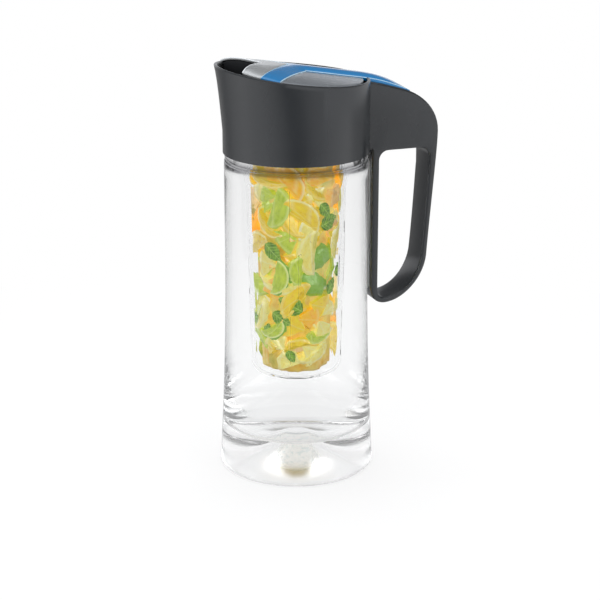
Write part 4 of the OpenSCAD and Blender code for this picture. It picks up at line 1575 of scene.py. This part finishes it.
    def add_leaf(self, name: str, around: float, up: float, spin: float, length: float) -> None:
        """Builds one mint leaf against the tube.

        Args:
            name: The piece's name.
            around: Its place round the tube in degrees.
            up: Its height in millimetres.
            spin: Its turn in degrees, 0 with its tip to the right.
            length: Its length in millimetres.
        """
        out, along, across = self.axes(around, spin)
        place = Matrix((along, across, out)).transposed().to_4x4()
        spot = out * (self.reach(up) + self.relief / 2 - self.leaf_deep) + Vector((0.0, 0.0, up))
        place.translation = spot - along * length / 2
        back = place.inverted()
        rows, cols = 18, 8
        points: list[Point] = []
        for level in (0.0, -self.leaf_t):
            for i in range(rows + 1):
                t = i / rows
                teeth = 1.06 if i % 2 else 0.95
                wide = self.leaf_width * length * math.sin(math.pi * t**0.8) ** 0.75 * teeth
                for j in range(cols + 1):
                    s = 2 * j / cols - 1
                    lift = 1.6 * abs(s) ** 1.5 - 2.6 * math.sin(math.pi * t) * s * s - 1.5 * (2 * t - 1) ** 2
                    lift += 0.6 * math.sin(t * 24 - abs(s) * 5) * (0.3 + abs(s))
                    q = Vector((length * t, wide * s, lift + level))
                    points.append(tuple(back @ self.pressed(place @ q)))
        n, m = rows + 1, cols + 1
        faces = []
        for i in range(rows):
            for j in range(cols):
                a = i * m + j
                faces.append([a, a + m, a + m + 1, a + 1])
                faces.append([a + n * m, a + 1 + n * m, a + m + 1 + n * m, a + m + n * m])
        rim = list(range(m)) + [i * m + cols for i in range(1, n)]
        rim += [rows * m + j for j in range(cols - 1, -1, -1)] + [i * m for i in range(rows - 1, 0, -1)]
        for a, b in zip(rim, rim[1:] + rim[:1]):
            faces.append([a, b, b + n * m, a + n * m])
        self.builder.piece(name, points, faces, MINT, "infuser", place=place)

    def seen_from_front(self) -> list[FruitSpec]:
        """Gives the pieces on the side that the camera sees.

        Returns:
            The pieces, laid from the top down.
        """
        o, y, l, p, k = Fruit.ORANGE, Fruit.LEMON, Fruit.LIME, Fruit.PALE, Fruit.PEACH
        face, rind, flat = Cut.WEDGE_FACE, Cut.WEDGE_RIND, Cut.SLICE
        rows = [
            (o, face, 238, 223, 52, 0.8, 0.95),
            (o, flat, 284, 226, 200, 0.8, 1.15, 0, 80, False),
            (o, flat, 222, 226, 20, 1.0, 1.1, 8, 80, False),
            (l, flat, 208, 208, 200, 1.0, 0.9, -10, 70, False),
            (l, face, 228, 198, -18, 0.8, 0.95, 0, 70, False),
            (y, face, 257, 198, 60, 0.6, 0.95),
            (p, flat, 280, 207, 140, 0.8, 1.0, 12, 60),
            (y, flat, 245, 208, 100, 3.0, 1.2, -20, 90, False),
            (l, flat, 240, 178, 250, 0.6, 1.2, -8, 72, False),
            (p, flat, 270, 183, 190, 0.6, 1.15, 10, 52),
            (y, flat, 214, 184, 160, 2.0, 1.0, 15, 80, False),
            (l, rind, 289, 163, 42, 0.6, 0.8, 0, 75),
            (p, flat, 206, 157, 215, 1.0, 1.05, -12, 70, False),
            (l, face, 228, 148, -12, 1.2, 0.85),
            (l, rind, 271, 144, -34, 0.5, 0.95, 0, 80),
            (y, flat, 258, 160, 120, 2.6, 1.1, 20, 80, False),
            (o, flat, 216, 139, 165, 1.2, 0.85, -10, 80, False),
            (y, flat, 286, 126, 20, 1.0, 1.05, 10, 85, False),
            (p, flat, 303, 122, 60, 1.2, 0.9, 0, 70, False),
            (y, flat, 246, 113, 195, 0.8, 1.25, -12, 80, False),
            (o, flat, 268, 118, 30, 1.6, 0.95, 15, 70, False),
            (p, flat, 293, 108, 330, 0.8, 1.1, -10, 75, False),
            (k, rind, 252, 98, 12, 1.2, 0.62, 0, 60, False),
            (p, flat, 222, 100, 170, 0.8, 1.1, 12, 80, False),
            (p, flat, 274, 94, 15, 0.8, 1.1, -8, 90, False),
            (k, flat, 312, 202, 80, 0.8, 0.9, 0, 70, False),
            (k, flat, 318, 180, 95, 1.0, 0.85, 0, 70, False),
            (p, flat, 240, 88, 200, 1.2, 1.0, 10, 90, False),
            (y, rind, 262, 128, 60, 5.0, 0.9, 0, 70, False),
        ]
        return [FruitSpec(*row) for row in rows]

    def filling(self) -> list[FruitSpec]:
        """Gives the pieces that fill the rest of the tube, in a fixed mixture.

        Returns:
            The pieces, from the bottom up.
        """
        chance = random.Random(self.seed)
        y, p = Fruit.LEMON, Fruit.PALE
        fruits = [y, y, p, p, Fruit.LIME, Fruit.ORANGE, y, Fruit.PEACH]
        cuts = [Cut.WEDGE_FACE, Cut.WEDGE_FACE, Cut.SLICE, Cut.WEDGE_RIND]
        specs = []
        for i in range(self.filler):
            up = self.fill_low + (self.fill_high - self.fill_low) * (i + 0.5) / self.filler
            around = (i * 137.5 + chance.uniform(-15, 15)) % 360
            front = 205 < around < 305
            specs.append(FruitSpec(
                chance.choice(fruits), chance.choice(cuts), around, up, chance.uniform(0, 360),
                chance.uniform(4, 7) if front else chance.uniform(1, 5), chance.uniform(0.7, 0.95),
                chance.uniform(-35, 35), chance.uniform(50, 80), chance.random() < 0.3,
            ))
        return specs

    def build(self) -> None:
        """Builds all fruit, then the mint, with lumps that are the same each time."""
        noise.seed_set(self.seed)
        for i, spec in enumerate(self.seen_from_front()):
            self.add_cut(f"fruit_front_{i + 1:02d}", spec)
        for i, spec in enumerate(self.filling()):
            self.add_cut(f"fruit_{i + 1:02d}", spec)
        self.add_core()
        leaves = [(216, 167, -40, 17), (234, 153, -20, 16), (307, 140, 60, 13), (242, 129, 150, 20),
                  (228, 118, -30, 16), (204, 108, 70, 11), (242, 90, -60, 10), (300, 188, 15, 17),
                  (292, 197, -50, 13), (150, 190, 30, 18), (120, 140, 80, 17), (60, 170, -20, 18),
                  (20, 120, 40, 16), (330, 150, 10, 15), (170, 110, -40, 15), (90, 215, 0, 17)]
        for i, (around, up, spin, length) in enumerate(leaves):
            self.add_leaf(f"mint_{i + 1:02d}", around, up, spin, length)


MINT = MintLeaf("mint_leaf", shade(138, 184, 58), shade(52, 104, 20), shade(200, 228, 124))
PULP = Pulp("fruit_pulp", shade(232, 214, 120), shade(214, 160, 14), shade(150, 168, 40))


@dataclass
class Studio:
    """Camera, lamps, world and floor."""

    camera_at: Point = (-0.4012, -1.1023, 0.50726)
    looks_at: Point = (0.00253, -0.00092, 0.12326)
    lens: float = 101.88
    lit_point: Point = (0.0, 0.0, 0.18)
    world_level: float = 0.62
    floor_half: float = 3.0

    @staticmethod
    def point(item: bpy.types.Object, at: Point, target: Point) -> None:
        """Stands a camera or lamp at a place and points it at another.

        Args:
            item: The camera or lamp.
            at: Where it stands, in metres.
            target: What it faces.
        """
        item.location = at
        item.rotation_euler = (Vector(target) - Vector(at)).to_track_quat("-Z", "Y").to_euler()

    def build_camera(self) -> None:
        """Sets the camera where the photograph was taken from."""
        data = bpy.data.cameras.new("photo_view")
        data.lens = self.lens
        data.sensor_width = 36.0
        camera = new_item("photo_view", data)
        self.point(camera, self.camera_at, self.looks_at)
        bpy.context.scene.camera = camera

    def add_panel(self, name: str, at: Point, size: tuple[float, float], power: float) -> None:
        """Adds one soft lamp that faces the pitcher and that glossy surfaces don't show.

        Args:
            name: The lamp's name.
            at: Where it stands, in metres.
            size: Its width and height in metres.
            power: Its power in watts.
        """
        data = bpy.data.lights.new(name, "AREA")
        data.shape = "RECTANGLE"
        data.size, data.size_y = size
        data.energy = power
        lamp = new_item(name, data)
        lamp.visible_glossy = False
        self.point(lamp, at, self.lit_point)

    def build_lamps(self) -> None:
        """Adds the soft lamps to the left, to the right and above."""
        self.add_panel("lamp_left", (-1.5, -0.75, 0.75), (1.1, 1.5), 19.0)
        self.add_panel("lamp_right", (0.9, -1.45, 0.7), (1.1, 1.5), 15.0)
        self.add_panel("lamp_above", (0.1, 0.5, 1.9), (1.6, 1.2), 16.0)

    def build_world(self) -> None:
        """Makes the room: white where it is seen, soft light with dark cards for the rest."""
        world = bpy.data.worlds.new("studio_room")
        world.use_nodes = True
        bpy.context.scene.world = world
        board = Board(world.node_tree)
        way = board.add("ShaderNodeTexCoord", out="Generated")
        z = board.axis("Z", way)
        levels = [(0.0, 0.85), (0.13, 0.9), (0.2, 0.8), (0.27, 0.24), (0.4, 0.15), (0.66, 0.15), (0.84, 0.95),
                  (1.0, 1.0)]
        stops = [(rise, (level, level * 1.01, level * 1.04)) for rise, level in levels]
        room = board.tinted(z, stops)
        lights = (((0.98, 0.99, 1.0, 1.0), self.world_level), (room, 1.0), ((*WHITE, 1.0), 1.0))
        even, mirror, white = (
            board.add("ShaderNodeBackground", {}, {"Color": colour, "Strength": strength})
            for colour, strength in lights
        )
        lit = board.blend(even, mirror, board.ray("Glossy"))
        shown = board.blend(lit, white, board.ray("Camera").most(board.ray("Transmission")))
        board.add("ShaderNodeOutputWorld", {}, {"Surface": shown})

    def build_floor(self) -> None:
        """Lays the pale floor."""
        half = self.floor_half
        mesh = bpy.data.meshes.new("studio_floor")
        corners = [(-half, -half, 0.0), (half, -half, 0.0), (half, half, 0.0), (-half, half, 0.0)]
        mesh.from_pydata(corners, [], [(0, 1, 2, 3)])
        mesh.materials.append(PaleFloor("pale_floor").made())
        new_item("studio_floor", mesh)

    def build(self) -> None:
        """Builds the studio and sets how colours are shown."""
        self.build_camera()
        self.build_lamps()
        self.build_world()
        self.build_floor()
        scene = bpy.context.scene
        scene.view_settings.view_transform = "Standard"
        scene.cycles.caustics_refractive = False
        scene.cycles.caustics_reflective = False
        LOG.info("studio is ready")


def write_sizes() -> None:
    """Brings the scene's placements up to date."""
    bpy.context.view_layer.update()


def main() -> None:
    """Builds the pitcher's looks in order."""
    logging.basicConfig(level=logging.INFO, format="%(name)s: %(message)s")
    builder = Builder()
    Studio().build()
    ClearJug(builder).build()
    LidAndHandle(Sharpener()).build()
    SkinJointHighlights(builder).build()
    FruitFill(builder).build()
    LOG.info("%d pieces made", len(builder.made))
    write_sizes()


if __name__ == "__main__":
    main()
